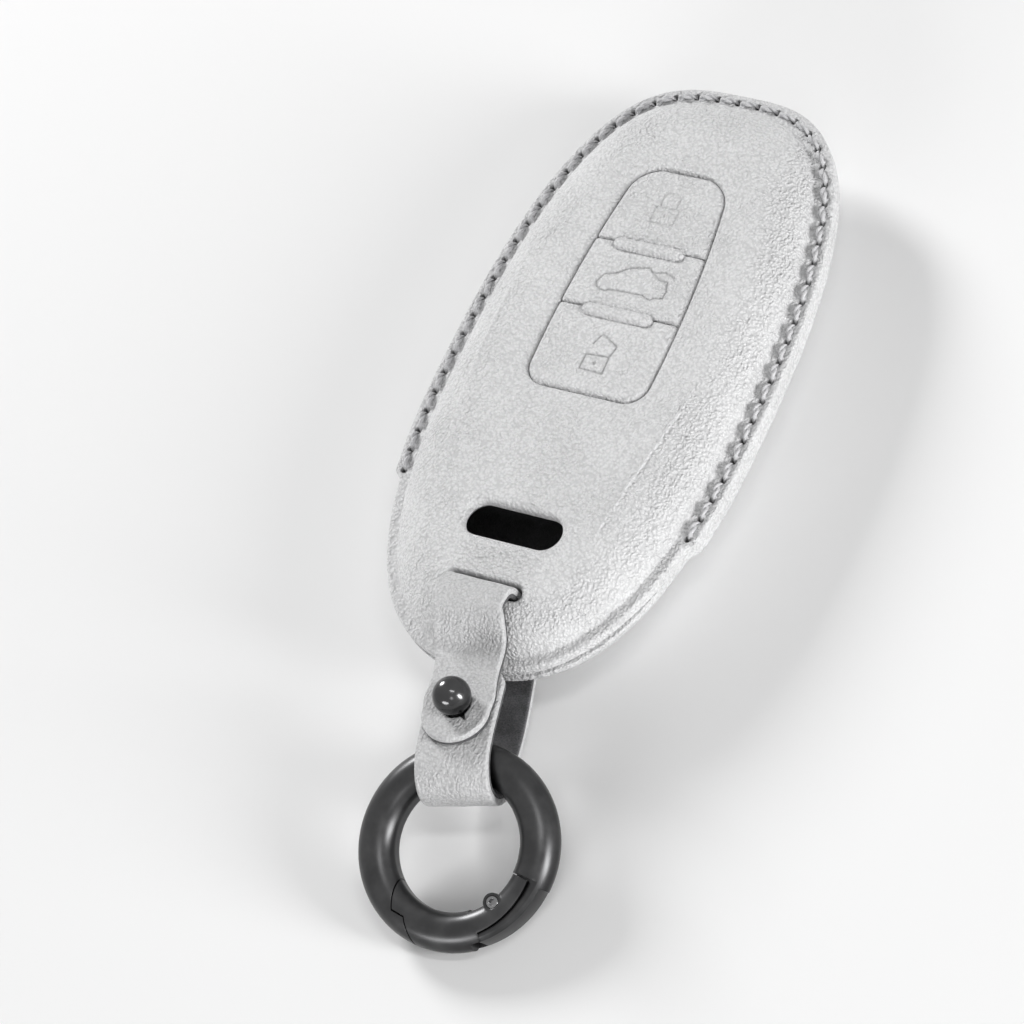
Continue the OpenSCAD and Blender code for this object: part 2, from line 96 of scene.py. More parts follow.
def resampled(points: Array, count: int, closed: bool) -> Array:
    """Equally spaced points along a line.

    Args:
        points: The line's points.
        count: Number of points wanted.
        closed: Whether the line runs back to its first point.

    Returns:
        The new points.
    """
    line = np.vstack([points, points[:1]]) if closed else points
    s = arc_length(line)
    wanted = np.linspace(0.0, s[-1], count, endpoint=not closed)
    return np.stack([np.interp(wanted, s, line[:, k]) for k in range(line.shape[1])], axis=1)


def spaced(outline: Array, spacing: float) -> Array:
    """Points along a closed outline at about one spacing."""
    around = arc_length(np.vstack([outline, outline[:1]]))[-1]
    return resampled(outline, int(around / spacing), True)


def segment_distance(points: Array, line: Array, closed: bool) -> Array:
    """Distance of plan points from a line of segments.

    Args:
        points: Plan points, one row each.
        line: The line's points.
        closed: Whether the line runs back to its first point.

    Returns:
        One distance per point.
    """
    ends = np.roll(line, -1, axis=0) if closed else line[1:]
    starts = line if closed else line[:-1]
    best = np.full(len(points), 1e9)
    for a, b in zip(starts, ends):
        ab = b - a
        t = np.clip(((points - a) @ ab) / max(float(ab @ ab), 1e-12), 0.0, 1.0)
        best = np.minimum(best, np.linalg.norm(points - a - t[:, None] * ab, axis=1))
    return best


def within(points: Array, loop: Array) -> Array:
    """Which plan points lie inside a closed loop, by even and odd crossings.

    Args:
        points: Plan points, one row each.
        loop: The closed loop.

    Returns:
        True for each point inside.
    """
    inside = np.zeros(len(points), bool)
    x, y = points[:, 0], points[:, 1]
    for (x0, y0), (x1, y1) in zip(loop, np.roll(loop, -1, axis=0)):
        if y0 == y1:
            continue
        crosses = (y0 > y) != (y1 > y)
        inside ^= crosses & (x < (x1 - x0) * (y - y0) / (y1 - y0) + x0)
    return inside


def hex_grid(low: Sequence[float], high: Sequence[float], step: float) -> Array:
    """Plan points on a grid of triangles between two corners.

    Args:
        low: Lower corner.
        high: Upper corner.
        step: Side of each triangle.

    Returns:
        The points.
    """
    rows = np.arange(low[1], high[1], step * math.sqrt(0.75))
    columns = np.arange(low[0], high[0], step)
    return np.array([(x + (k % 2) * step / 2, y) for k, y in enumerate(rows) for x in columns])


def far_from(points: Array, others: Array, reach: float) -> Array:
    """The points that lie further than reach from every one of the others.

    Args:
        points: Plan points, one row each.
        others: The points to keep away from.
        reach: Least distance.

    Returns:
        The points that are left.
    """
    tree = KDTree(len(others))
    for k, p in enumerate(others):
        tree.insert((p[0], p[1], 0.0), k)
    tree.balance()
    keep = [tree.find((p[0], p[1], 0.0))[2] > reach for p in points]
    return points[np.array(keep, bool)]


def capsule_loop(length: float, width: float, centre: Array, spacing: float) -> Array:
    """Outline of a slot with round ends, lying along X.

    Args:
        length: Its length.
        width: Its width.
        centre: Its middle.
        spacing: Distance between two points.

    Returns:
        The plan points, anticlockwise.
    """
    r, half = width / 2, (length - width) / 2
    turn = np.linspace(-math.pi / 2, math.pi / 2, 24)
    right = np.stack([half + r * np.cos(turn), r * np.sin(turn)], axis=1)
    return spaced(np.vstack([right, -right]), spacing) + centre


def capsule_distance(points: Array, length: float, width: float, centre: Array) -> Array:
    """Signed distance of plan points from a slot with round ends.

    Args:
        points: Plan points, one row each.
        length: Its length.
        width: Its width.
        centre: Its middle.

    Returns:
        One distance per point, negative inside.
    """
    p = points - centre
    half = (length - width) / 2
    return np.hypot(p[:, 0] - np.clip(p[:, 0], -half, half), p[:, 1]) - width / 2


def beside(line: Array, count: int, offsets: Sequence[float]) -> Array:
    """Points along a line and in rows beside it.

    Args:
        line: The line's points.
        count: Number of points in each row.
        offsets: How far each row lies to the left of the line.

    Returns:
        The points, row after row.
    """
    middle = resampled(line, count, False)
    across = np.gradient(middle, axis=0)[:, ::-1] * [-1, 1]
    across /= np.linalg.norm(across, axis=1)[:, None]
    return np.vstack([middle + across * d for d in offsets])


def outward(loop: Array) -> Array:
    """Unit normals that point out of a loop that runs anticlockwise.

    Args:
        loop: The closed loop.

    Returns:
        One normal per point.
    """
    along = np.roll(loop, -1, axis=0) - np.roll(loop, 1, axis=0)
    along /= np.linalg.norm(along, axis=1)[:, None]
    return np.stack([along[:, 1], -along[:, 0]], axis=1)


# Meshes


def new_object(name: str, vertices: Array, faces: list, finish: Material, angle: float = 40.0) -> Piece:
    """Makes a closed mesh object from places in millimetres.

    Args:
        name: Name of the object.
        vertices: Places in millimetres.
        faces: Corner numbers of each face.
        finish: Its material.
        angle: Angle in degrees above which an edge stays sharp.

    Returns:
        The object, linked to the scene.
    """
    mesh = bpy.data.meshes.new(name)
    mesh.from_pydata((np.asarray(vertices, float) * MM).tolist(), [], faces)
    body = bmesh.new()
    body.from_mesh(mesh)
    bmesh.ops.recalc_face_normals(body, faces=body.faces)
    body.to_mesh(mesh)
    body.free()
    obj = bpy.data.objects.new(name, mesh)
    bpy.context.scene.collection.objects.link(obj)
    dress(obj, finish, angle)
    return obj


def dress(obj: Piece, finish: Material, angle: float) -> None:
    """Gives an object one material and smooth shading up to an angle.

    Args:
        obj: The object.
        finish: Its material.
        angle: Angle in degrees above which an edge stays sharp.
    """
    obj.data.materials.clear()
    obj.data.materials.append(finish)
    obj.data.polygons.foreach_set("use_smooth", [True] * len(obj.data.polygons))
    obj.data.set_sharp_from_angle(angle=math.radians(angle))


def triangles(loops: list[Array], inner: Array) -> list[tuple[int, int, int]]:
    """Triangles over a plan with openings.

    Args:
        loops: The outer loop, then one loop per opening.
        inner: Free points inside.

    Returns:
        Corner numbers, counted through the loops and then the free points.
    """
    points = np.vstack([*loops, inner]) if len(inner) else np.vstack(loops)
    edges, start = [], 0
    for loop in loops:
        n = len(loop)
        edges += [(start + i, start + (i + 1) % n) for i in range(n)]
        start += n
    found = delaunay_2d_cdt([Vector(p) for p in points], edges, [], 0, 1e-6)
    first = np.array([o[0] if o else -1 for o in found[3]])
    faces = first[np.array([f[:] for f in found[2]])]
    faces = faces[(faces >= 0).all(axis=1)]
    middle = points[faces].mean(axis=1)
    keep = within(middle, loops[0])
    for loop in loops[1:]:
        keep &= ~within(middle, loop)
    return [tuple(int(i) for i in f) for f in faces[keep]]


@dataclass
class Slab:
    """A closed piece between a top and a bottom sheet over one plan outline."""

    loops: list[Array]
    top_points: Array
    bottom_points: Array
    top: Sheet
    bottom: Sheet
    rows: int = 1

    def build(self, name: str, finish: Material, angle: float = 40.0) -> Piece:
        """Builds the piece.

        Args:
            name: Name of the object.
            finish: Its material.
            angle: Angle in degrees above which an edge stays sharp.

        Returns:
            The object.
        """
        rim = np.vstack(self.loops)
        upper = self.top(np.vstack([rim, self.top_points]))
        lower = self.bottom(np.vstack([rim, self.bottom_points]))
        count = len(rim)
        drop = lower[:count] - upper[:count]
        rows = [upper[:count] + drop * k / self.rows for k in range(1, self.rows)]
        vertices = np.vstack([upper, lower, *rows])
        first_row = len(upper) + len(lower)
        starts = [0, *(first_row + k * count for k in range(self.rows - 1)), len(upper)]
        under = triangles(self.loops, self.bottom_points)
        faces = list(triangles(self.loops, self.top_points))
        faces += [tuple(i + len(upper) for i in reversed(f)) for f in under]
        offset = 0
        for loop in self.loops:
            n = len(loop)
            for a, b in zip(starts[:-1], starts[1:]):
                for i in range(n):
                    j = (i + 1) % n
                    faces.append((a + offset + i, b + offset + i, b + offset + j, a + offset + j))
            offset += n
        return new_object(name, vertices, faces, finish, angle)


def applied(obj: Piece) -> Piece:
    """Turns an object's modifiers into its plain mesh.

    Args:
        obj: The object.

    Returns:
        The same object.
    """
    depsgraph = bpy.context.evaluated_depsgraph_get()
    mesh = bpy.data.meshes.new_from_object(obj.evaluated_get(depsgraph), depsgraph=depsgraph)
    old = obj.data
    obj.modifiers.clear()
    obj.data = mesh
    bpy.data.meshes.remove(old)
    return obj


class Cut(Enum):
    """What a boolean does with its tools: cuts them away, joins them, or keeps what lies in them."""

    AWAY = "DIFFERENCE"
    JOIN = "UNION"
    KEEP = "INTERSECT"


def combine(obj: Piece, tools: list[Piece], how: Cut) -> Piece:
    """Uses tools on an object and removes them.

    Args:
        obj: The object.
        tools: The tools.
        how: What the tools do.

    Returns:
        The same object.
    """
    for tool in tools:
        step = obj.modifiers.new("cut", "BOOLEAN")
        step.operation = how.value
        step.solver = "EXACT"
        step.object = tool
    applied(obj)
    for tool in tools:
        mesh = tool.data
        bpy.data.objects.remove(tool)
        bpy.data.meshes.remove(mesh)
    return obj


def prism(name: str, outline: Array, low: float, high: float, finish: Material) -> Piece:
    """A straight prism over a plan outline, used as a cutting tool.

    Args:
        name: Name of the object.
        outline: The plan outline.
        low: Height of its lower end.
        high: Height of its upper end.
        finish: Its material.

    Returns:
        The object.
    """
    n = len(outline)
    flat = [np.column_stack([outline, np.full(n, z)]) for z in (low, high)]
    faces = [tuple(range(n))[::-1], tuple(range(n, 2 * n))]
    faces += [(i, (i + 1) % n, n + (i + 1) % n, n + i) for i in range(n)]
    return new_object(name, np.vstack(flat), faces, finish)


def lathe(name: str, profile: Array, finish: Material, turns: int = 64) -> Piece:
    """A turned piece about Z.

    Args:
        name: Name of the object.
        profile: Radius and height of each ring, from a pole to a pole.
        finish: Its material.
        turns: Number of points round it.

    Returns:
        The object, closed at both poles.
    """
    angles = np.linspace(0.0, 2 * math.pi, turns, endpoint=False)
    inner = profile[1:-1]
    circle = np.column_stack([np.cos(angles), np.sin(angles)])
    rings = [np.column_stack([r * circle, np.full(turns, z)]) for r, z in inner]
    vertices = np.vstack([*rings, [[0, 0, profile[0][1]], [0, 0, profile[-1][1]]]])
    faces = []
    for k in range(len(inner) - 1):
        for i in range(turns):
            j = (i + 1) % turns
            faces.append((k * turns + i, k * turns + j, (k + 1) * turns + j, (k + 1) * turns + i))
    low = len(vertices) - 2
    high = len(vertices) - 1
    last = (len(inner) - 1) * turns
    for i in range(turns):
        j = (i + 1) % turns
        faces += [(low, j, i), (high, last + i, last + j)]
    return new_object(name, vertices, faces, finish)


def moved(obj: Piece, matrix: Matrix) -> Piece:
    """Moves an object's mesh by a matrix whose shift is in millimetres.

    Args:
        obj: The object.
        matrix: The move.

    Returns:
        The same object.
    """
    matrix = matrix.copy()
    matrix.translation *= MM
    obj.data.transform(matrix)
    return obj


# Finishes


@dataclass
class Graph:
    """Adds shader nodes and links to one material."""

    name: str
    material: Material = field(init=False)
    shader: bpy.types.Node = field(init=False)
    place: Socket = field(init=False)

    def __post_init__(self) -> None:
        """Starts the material with its shader and its place in millimetres."""
        self.material = bpy.data.materials.new(self.name)
        self.material.use_nodes = True
        self.shader = self.material.node_tree.nodes["Principled BSDF"]
        coords = self.node("ShaderNodeTexCoord")
        scaled = self.node("ShaderNodeVectorMath", operation="SCALE")
        scaled.inputs["Scale"].default_value = 1.0 / MM
        self.link(coords.outputs["Object"], scaled.inputs[0])
        self.place = scaled.outputs[0]

    def node(self, kind: str, **settings: object) -> bpy.types.Node:
        """Adds a node and sets its own settings.

        Args:
            kind: Type of the node.
            settings: Its settings by name.

        Returns:
            The node.
        """
        made = self.material.node_tree.nodes.new(kind)
        for key, value in settings.items():
            setattr(made, key, value)
        return made

    def link(self, source: Socket, target: Socket) -> None:
        """Joins two sockets."""
        self.material.node_tree.links.new(source, target)

    def warped(self, size: float, amount: float) -> Socket:
        """The place, pushed about by soft noise.

        Args:
            size: Size of the noise in millimetres.
            amount: How far it pushes, in millimetres.

        Returns:
            The socket that gives the pushed place.
        """
        noise = self.noise(size, 2.0, self.place)
        push = self.node("ShaderNodeVectorMath", operation="MULTIPLY_ADD")
        self.link(noise.outputs["Color"], push.inputs[0])
        push.inputs[1].default_value = (amount,) * 3
        self.link(self.place, push.inputs[2])
        return push.outputs[0]

    def noise(self, size: float, detail: float, place: Socket) -> bpy.types.Node:
        """Noise of a size in millimetres at a place.

        Args:
            size: Size of the noise.
            detail: How many finer layers it has.
            place: Socket of the place.

        Returns:
            The noise node.
        """
        made = self.node("ShaderNodeTexNoise")
        made.inputs["Scale"].default_value = 1.0 / size
        made.inputs["Detail"].default_value = detail
        self.link(place, made.inputs["Vector"])
        return made

    def stretched(self, place: Socket, scale: Sequence[float]) -> Socket:
        """A place scaled along each axis.

        Args:
            place: Socket of the place.
            scale: Scale along X, Y and Z.

        Returns:
            The socket that gives the scaled place.
        """
        made = self.node("ShaderNodeVectorMath", operation="MULTIPLY")
        self.link(place, made.inputs[0])
        made.inputs[1].default_value = scale
        return made.outputs[0]

    def ranged(self, value: Socket, source: Sequence[float], target: Sequence[float] = (0.0, 1.0)) -> Socket:
        """A value mapped from one range to another, held at its ends.

        Args:
            value: Socket of the value.
            source: Range that the value has.
            target: Range that it gets.

        Returns:
            The socket that gives the mapped value.
        """
        made = self.node("ShaderNodeMapRange")
        for key, number in zip(("From Min", "From Max", "To Min", "To Max"), (*source, *target)):
            made.inputs[key].default_value = number
        self.link(value, made.inputs["Value"])
        return made.outputs["Result"]

    def mixed(self, factor: Socket, low: Sequence[float], high: Sequence[float]) -> Socket:
        """A colour between two colours.

        Args:
            factor: Socket of the share of the second colour.
            low: First colour.
            high: Second colour.

        Returns:
            The socket that gives the colour.
        """
        made = self.node("ShaderNodeMix", data_type="RGBA")
        self.link(factor, made.inputs["Factor"])
        made.inputs[6].default_value = (*low, 1.0)
        made.inputs[7].default_value = (*high, 1.0)
        return made.outputs[2]

    def product(self, a: Socket, b: Socket) -> Socket:
        """Two values multiplied.

        Args:
            a: Socket of the first.
            b: Socket of the second.

        Returns:
            The socket that gives the product.
        """
        made = self.node("ShaderNodeMath", operation="MULTIPLY")
        self.link(a, made.inputs[0])
        self.link(b, made.inputs[1])
        return made.outputs[0]

    def multiplied(self, a: Socket, b: Socket) -> Socket:
        """Two colours multiplied.

        Args:
            a: Socket of the first.
            b: Socket of the second.

        Returns:
            The socket that gives the product.
        """
        made = self.node("ShaderNodeMix", data_type="RGBA", blend_type="MULTIPLY")
        made.inputs["Factor"].default_value = 1.0
        self.link(a, made.inputs[6])
        self.link(b, made.inputs[7])
        return made.outputs[2]

    def bump(self, height: Socket, depth: float, before: Socket | None = None) -> Socket:
        """A bump of a depth in millimetres, laid over an earlier one.

        Args:
            height: Socket of the height.
            depth: Depth for a height of 1.
            before: Socket of the earlier normal.

        Returns:
            The socket that gives the normal.
        """
        made = self.node("ShaderNodeBump")
        made.inputs["Strength"].default_value = 1.0
        made.inputs["Distance"].default_value = depth * MM
        self.link(height, made.inputs["Height"])
        if before is not None:
            self.link(before, made.inputs["Normal"])
        return made.outputs["Normal"]


@dataclass(frozen=True)
class Leather:
    """Pebbled leather with a soft sheen, with painted shade in its pits and where the mesh's "seam" attribute
    is set. Sizes and depths are in millimetres.
    """

    name: str
    colour: Colour
    shade: Colour
    pebble: float = 0.4
    pebble_depth: float = 0.24
    wrinkle_depth: float = 0.075
    wrinkle: float = 1.1
    wrinkle_stretch: Colour = (1.0, 0.55, 1.0)
    roughness: float = 0.5
    warp: float = 1.6
    warp_push: float = 0.55
    fine: float = 0.16
    patch: float = 9.0
    cloud: float = 14.0
    # Painted shade: the colour that the deepest pits of the grain are darkened by.
    pit_painted_shade: Colour = (0.8, 0.8, 0.802)
    # Painted shade: colour of the darkest places that the "seam" attribute marks.
    painted_shade_tone: Colour = (0.14, 0.14, 0.145)

    def material(self) -> Material:
        """Builds the material.

        Returns:
            The material.
        """
        g = Graph(self.name)
        place = g.warped(self.warp, self.warp_push)
        pebbles = g.node("ShaderNodeTexVoronoi", feature="SMOOTH_F1")
        pebbles.inputs["Scale"].default_value = 1.0 / self.pebble
        pebbles.inputs["Smoothness"].default_value = 0.35
        g.link(place, pebbles.inputs["Vector"])
        height = g.ranged(pebbles.outputs["Distance"], (0.05, 0.75), (1.0, 0.0))
        patches = g.ranged(g.noise(self.patch, 2.0, g.place).outputs["Fac"], (0.32, 0.68), (0.45, 1.0))
        wrinkles = g.noise(self.wrinkle, 4.0, g.stretched(place, self.wrinkle_stretch)).outputs["Fac"]
        fine = g.noise(self.fine, 2.0, g.place).outputs["Fac"]
        normal = g.bump(g.product(height, patches), self.pebble_depth)
        normal = g.bump(wrinkles, self.wrinkle_depth * 4, normal)
        normal = g.bump(fine, self.pebble_depth * 0.35, normal)
        g.link(normal, g.shader.inputs["Normal"])
        clouds = g.ranged(g.noise(self.cloud, 3.0, g.place).outputs["Fac"], (0.3, 0.7))
        tone = g.mixed(clouds, self.colour, self.shade)
        # Painted shade: the pebbles' pits are made darker in colour.
        painted_pits = g.mixed(g.ranged(height, (0.0, 0.6)), self.pit_painted_shade, WHITE)
        # Painted shade: the "seam" attribute darkens the stitch holes, the thread's line, the slit's rim and
        # the signs' pressed lines.
        seam = g.node("ShaderNodeAttribute", attribute_name="seam")
        shade = g.mixed(seam.outputs["Fac"], WHITE, self.painted_shade_tone)
        g.link(g.multiplied(g.multiplied(tone, painted_pits), shade), g.shader.inputs["Base Color"])
        rough = g.ranged(height, (0.0, 1.0), (self.roughness + 0.14, self.roughness))
        g.link(rough, g.shader.inputs["Roughness"])
        g.shader.inputs["Specular IOR Level"].default_value = 0.38
        g.shader.inputs["Sheen Weight"].default_value = 0.08
        g.shader.inputs["Sheen Roughness"].default_value = 0.4
        return g.material


@dataclass(frozen=True)
class Suede:
    """Napped suede with short fibres."""

    name: str
    colour: Colour
    light: Colour
    sheen: float = 0.25
    fibre: float = 0.22
    fibre_depth: float = 0.12
    patch: float = 2.6

    def material(self) -> Material:
        """Builds the material.

        Returns:
            The material.
        """
        g = Graph(self.name)
        fibres = g.noise(self.fibre, 4.0, g.stretched(g.warped(0.8, 0.4), (1.0, 1.0, 0.4))).outputs["Fac"]
        patches = g.noise(self.patch, 3.0, g.place).outputs["Fac"]
        nap = g.ranged(g.product(fibres, patches), (0.12, 0.42))
        g.link(g.mixed(nap, self.colour, self.light), g.shader.inputs["Base Color"])
        g.link(g.bump(fibres, self.fibre_depth), g.shader.inputs["Normal"])
        g.shader.inputs["Roughness"].default_value = 0.95
        g.shader.inputs["Specular IOR Level"].default_value = 0.15
        g.shader.inputs["Sheen Weight"].default_value = self.sheen
        return g.material


@dataclass(frozen=True)
class Thread:
    """Waxed thread with fine fibres."""

    name: str
    colour: Colour
    shade: Colour
    fibre: float = 0.12
    fibre_depth: float = 0.05

    def material(self) -> Material:
        """Builds the material.

        Returns:
            The material.
        """
        g = Graph(self.name)
        fibres = g.noise(self.fibre, 3.0, g.place).outputs["Fac"]
        tone = g.mixed(g.ranged(fibres, (0.35, 0.65)), self.shade, self.colour)
        g.link(tone, g.shader.inputs["Base Color"])
        g.link(g.bump(fibres, self.fibre_depth), g.shader.inputs["Normal"])
        g.shader.inputs["Roughness"].default_value = 0.62
        g.shader.inputs["Sheen Weight"].default_value = 0.2
        return g.material


@dataclass(frozen=True)
class Metal:
    """Plated metal with a satin grain and rubbed places."""

    name: str
    colour: Colour
    rubbed: Colour
    roughness: float
    grain_depth: float = 0.0015
    grain: float = 0.09
    patch: float = 3.2

    def material(self) -> Material:
        """Builds the material.

        Returns:
            The material.
        """
        g = Graph(self.name)
        rub = g.noise(self.patch, 3.0, g.place).outputs["Fac"]
        fine = g.noise(self.grain, 2.0, g.place).outputs["Fac"]
        tone = g.mixed(g.ranged(rub, (0.42, 0.75)), self.colour, self.rubbed)
        g.link(tone, g.shader.inputs["Base Color"])
        rough = g.ranged(rub, (0.3, 0.7), (self.roughness - 0.03, self.roughness + 0.05))
        g.link(rough, g.shader.inputs["Roughness"])
        g.link(g.bump(fine, self.grain_depth), g.shader.inputs["Normal"])
        g.shader.inputs["Metallic"].default_value = 1.0
        return g.material


@dataclass
class Finishes:
    """All finishes, built once."""

    shell: Material = field(init=False)
    strap: Material = field(init=False)
    lining: Material = field(init=False)
    suede: Material = field(init=False)
    thread: Material = field(init=False)
    gunmetal: Material = field(init=False)
    polish: Material = field(init=False)
    steel: Material = field(init=False)

    def __post_init__(self) -> None:
        """Builds the materials."""
        self.shell = Leather("shell_leather", (0.735, 0.735, 0.74), (0.7, 0.7, 0.705)).material()
        self.strap = Leather(
            "strap_leather", (0.61, 0.61, 0.615), (0.56, 0.56, 0.565), pebble=0.36, pebble_depth=0.14,
            wrinkle_depth=0.06, wrinkle=0.8, wrinkle_stretch=(2.0, 0.5, 0.8),
        ).material()
        self.lining = Suede("suede_lining", (0.19, 0.19, 0.193), (0.27, 0.27, 0.275), 0.0).material()
        self.suede = Suede("strap_suede", (0.035, 0.035, 0.037), (0.12, 0.12, 0.125)).material()
        self.thread = Thread("thread", (0.66, 0.66, 0.67), (0.46, 0.46, 0.47)).material()
        self.gunmetal = Metal("gunmetal", (0.05, 0.05, 0.051), (0.07, 0.07, 0.071), 0.32).material()
        self.polish = Metal(
            "polished_gunmetal", (0.06, 0.06, 0.061), (0.08, 0.08, 0.081), 0.16, grain_depth=0.001,
        ).material()
        self.steel = Metal("bright_steel", (0.2, 0.2, 0.203), (0.28, 0.28, 0.284), 0.24).material()


# The case


@dataclass(frozen=True)
class CaseForm:
    """Outline and heights of the case, in millimetres. Insets run in from the unstitched rim."""

    half_w: float = 22.8
    half_top: float = 47.0
    half_low: float = 42.0
    widest_y: float = -3.0
    top_power: float = 3.2
    low_power: float = 2.4
    end_power: float = 2.4
    stitched_extra: float = 1.0
    rim_w: float = 1.5
    leather: float = 1.5
    seam_z: float = 9.0
    flange_z: float = 10.5
    dome: float = 4.9
    front_width: float = 10.0
    back_width: float = 7.0
    back_z: float = 7.5
    fold_y: float = -21.75
    seam_inset: float = 0.3
    stitch_count: int = 50
    seam_dip: float = 0.16
    outer_lip: float = 0.35
    inner_lip: float = 0.3
    mouth_gap: float = 0.2
    mouth_span: float = 13.0
    grid_y: float = 46.0
    halvings: int = 34

    def inset(self, xy: Array) -> Array:
        """Inset of plan points, found by halving.

        Args:
            xy: Plan points, one row each.

        Returns:
            One inset per point.
        """
        x = np.abs(xy[:, 0])
        y = xy[:, 1] - self.widest_y
        half = np.where(y >= 0, self.half_top, self.half_low)
        power = np.where(y >= 0, self.top_power, self.low_power)
        low = np.full(len(xy), -3.0)
        high = np.full(len(xy), self.half_w - 0.02)
        for _ in range(self.halvings):
            mid = (low + high) / 2
            inside = (x / (self.half_w - mid)) ** power + (np.abs(y) / (half - mid)) ** self.end_power <= 1
            low = np.where(inside, mid, low)
            high = np.where(inside, high, mid)
        return (low + high) / 2

    def edge_inset(self, y: Array) -> Array:
        """Inset of the outer edge, which stands out where the rim is stitched."""
        return -self.stitched_extra * smoothstep(self.fold_y - 0.3, self.fold_y + 1.8, y)

    def outline(self, inset: Callable[[Array], Array], spacing: float) -> Array:
        """A closed outline at an inset.

        Args:
            inset: Gives the inset for the height y of the plain rim.
            spacing: Distance between two points in millimetres.

        Returns:
            The plan points, anticlockwise.
        """
        a = np.linspace(0, 2 * math.pi, 6000, endpoint=False) + 1e-4
        c = np.cos(a)
        s = np.sin(a)
        power = np.where(s >= 0, self.top_power, self.low_power)
        half = np.where(s >= 0, self.half_top, self.half_low)
        rise = np.sign(s) * np.abs(s) ** (2 / self.end_power)
        i = inset(self.widest_y + half * rise)
        x = (self.half_w - i) * np.sign(c) * np.abs(c) ** (2 / power)
        points = np.stack([x, self.widest_y + (half - i) * rise], axis=1)
        around = arc_length(np.vstack([points, points[:1]]))[-1]
        return resampled(points, max(24, int(round(around / spacing))), True)

    def grid(self, step: float, inset: float) -> Array:
        """Plan points on a grid of triangles, all deeper than an inset."""
        points = hex_grid((-self.half_w, -self.grid_y), (self.half_w, self.grid_y), step)
        return points[self.inset(points) > inset]

    def dip(self, xy: Array, inset: Array) -> Array:
        """How far the thread pulls the leather in along the seam.

        Args:
            xy: Plan points, one row each.
            inset: Their insets.

        Returns:
            One depth per point.
        """
        along = smoothstep(self.fold_y + 0.2, self.fold_y + 1.6, xy[:, 1])
        return self.seam_dip * bell(inset - self.seam_inset, 0.5) * along

    def unstitched(self, y: Array) -> Array:
        """Share of the mouth's rim at a height: 1 in its middle, 0 where the stitches begin."""
        return 1 - smoothstep(self.fold_y - self.mouth_span, self.fold_y - 4.0, y)

    def edge_outline(self, share: float, spacing: float) -> Array:
        """An outline between the outer edge and the foot of the dome.

        Args:
            share: Share of the way to the foot of the dome.
            spacing: Distance between two points.

        Returns:
            The plan points, anticlockwise.
        """

        def inset(y: Array) -> Array:
            """Inset between the edge and the dome's foot."""
            return self.edge_inset(y) * (1 - share) + self.rim_w * share

        return self.outline(inset, spacing)

    def inset_outline(self, inset: float, spacing: float) -> Array:
        """An outline at one inset all round."""
        return self.outline(lambda y: np.full(len(y), inset), spacing)

    def front_rise(self, share: Array) -> Array:
        """Height of the front's shoulder as a share."""
        return (1 - (1 - np.clip(share, 0, 1)) ** 2.4) ** 0.7

    def back_rise(self, share: Array) -> Array:
        """Height of the back's wall as a share."""
        return (1 - (1 - np.clip(share, 0, 1)) ** 2.6) ** 0.66

    def seam(self) -> Array:
        """The seam's line with one point per hole.

        Returns:
            The holes' plan points, anticlockwise.
        """
        line = self.inset_outline(self.seam_inset, 0.05)
        start = int(np.argmin(line[:, 1]))
        line = np.roll(line, -start, axis=0)
        line = line[line[:, 1] > self.fold_y + self.seam_inset + self.stitched_extra]
        return resampled(line, self.stitch_count + 1, False)


@dataclass(frozen=True)
class PanelForm:
    """Outline of the button panel."""

    low_y: float = -5.75
    length: float = 35.0
    low_w: float = 17.8
    top_w: float = 13.4
    bulge: float = 1.0
    low_r: float = 3.0
    top_r: float = 4.0
    pad_z: float = 14.8
    pad_t: float = 1.5

    def half(self, y: Array) -> Array:
        """Half width at a height over the lower edge.

        Args:
            y: Heights over the lower edge.

        Returns:
            One half width per height.
        """
        s = y / self.length
        side = (self.low_w + (self.top_w - self.low_w) * s) / 2 + self.bulge * 4 * s * (1 - s)
        for r, d in ((self.low_r, y), (self.top_r, self.length - y)):
            reach = np.clip(r - d, 0, r)
            side = side - (r - np.sqrt(r * r - reach * reach))
        return side

    def loop(self, gap: float, low: float, high: float, spacing: float) -> Array:
        """Closed outline of a slice of the panel.

        Args:
            gap: How far it is drawn in.
            low: Lower height over the panel's lower edge.
            high: Upper height.
            spacing: Distance between two points.

        Returns:
            The plan points, anticlockwise.
        """
        y = np.linspace(max(low, gap), min(high, self.length - gap), 400)
        right = np.stack([self.half(y) - gap, y + self.low_y], axis=1)
        left = right[::-1] * [-1, 1]
        return spaced(np.vstack([right, left]), spacing)

    def opening(self, spacing: float) -> Array:
        """Closed outline of the whole panel."""
        return self.loop(0.0, 0.0, self.length, spacing)


CASE = CaseForm()
PANEL = PanelForm()


def plan_points(obj: Piece) -> Array:
    """Plan places of an object's points in millimetres.

    Args:
        obj: The object.

    Returns:
        One plan point per vertex.
    """
    places = np.empty(len(obj.data.vertices) * 3)
    obj.data.vertices.foreach_get("co", places)
    return places.reshape(-1, 3)[:, :2] / MM


def store_painted_shade(obj: Piece, shade: Array) -> None:
    """Stores how much painted shade darkens the leather's colour at each point, in its "seam" attribute."""
    obj.data.attributes.new("seam", "FLOAT", "POINT").data.foreach_set("value", shade)


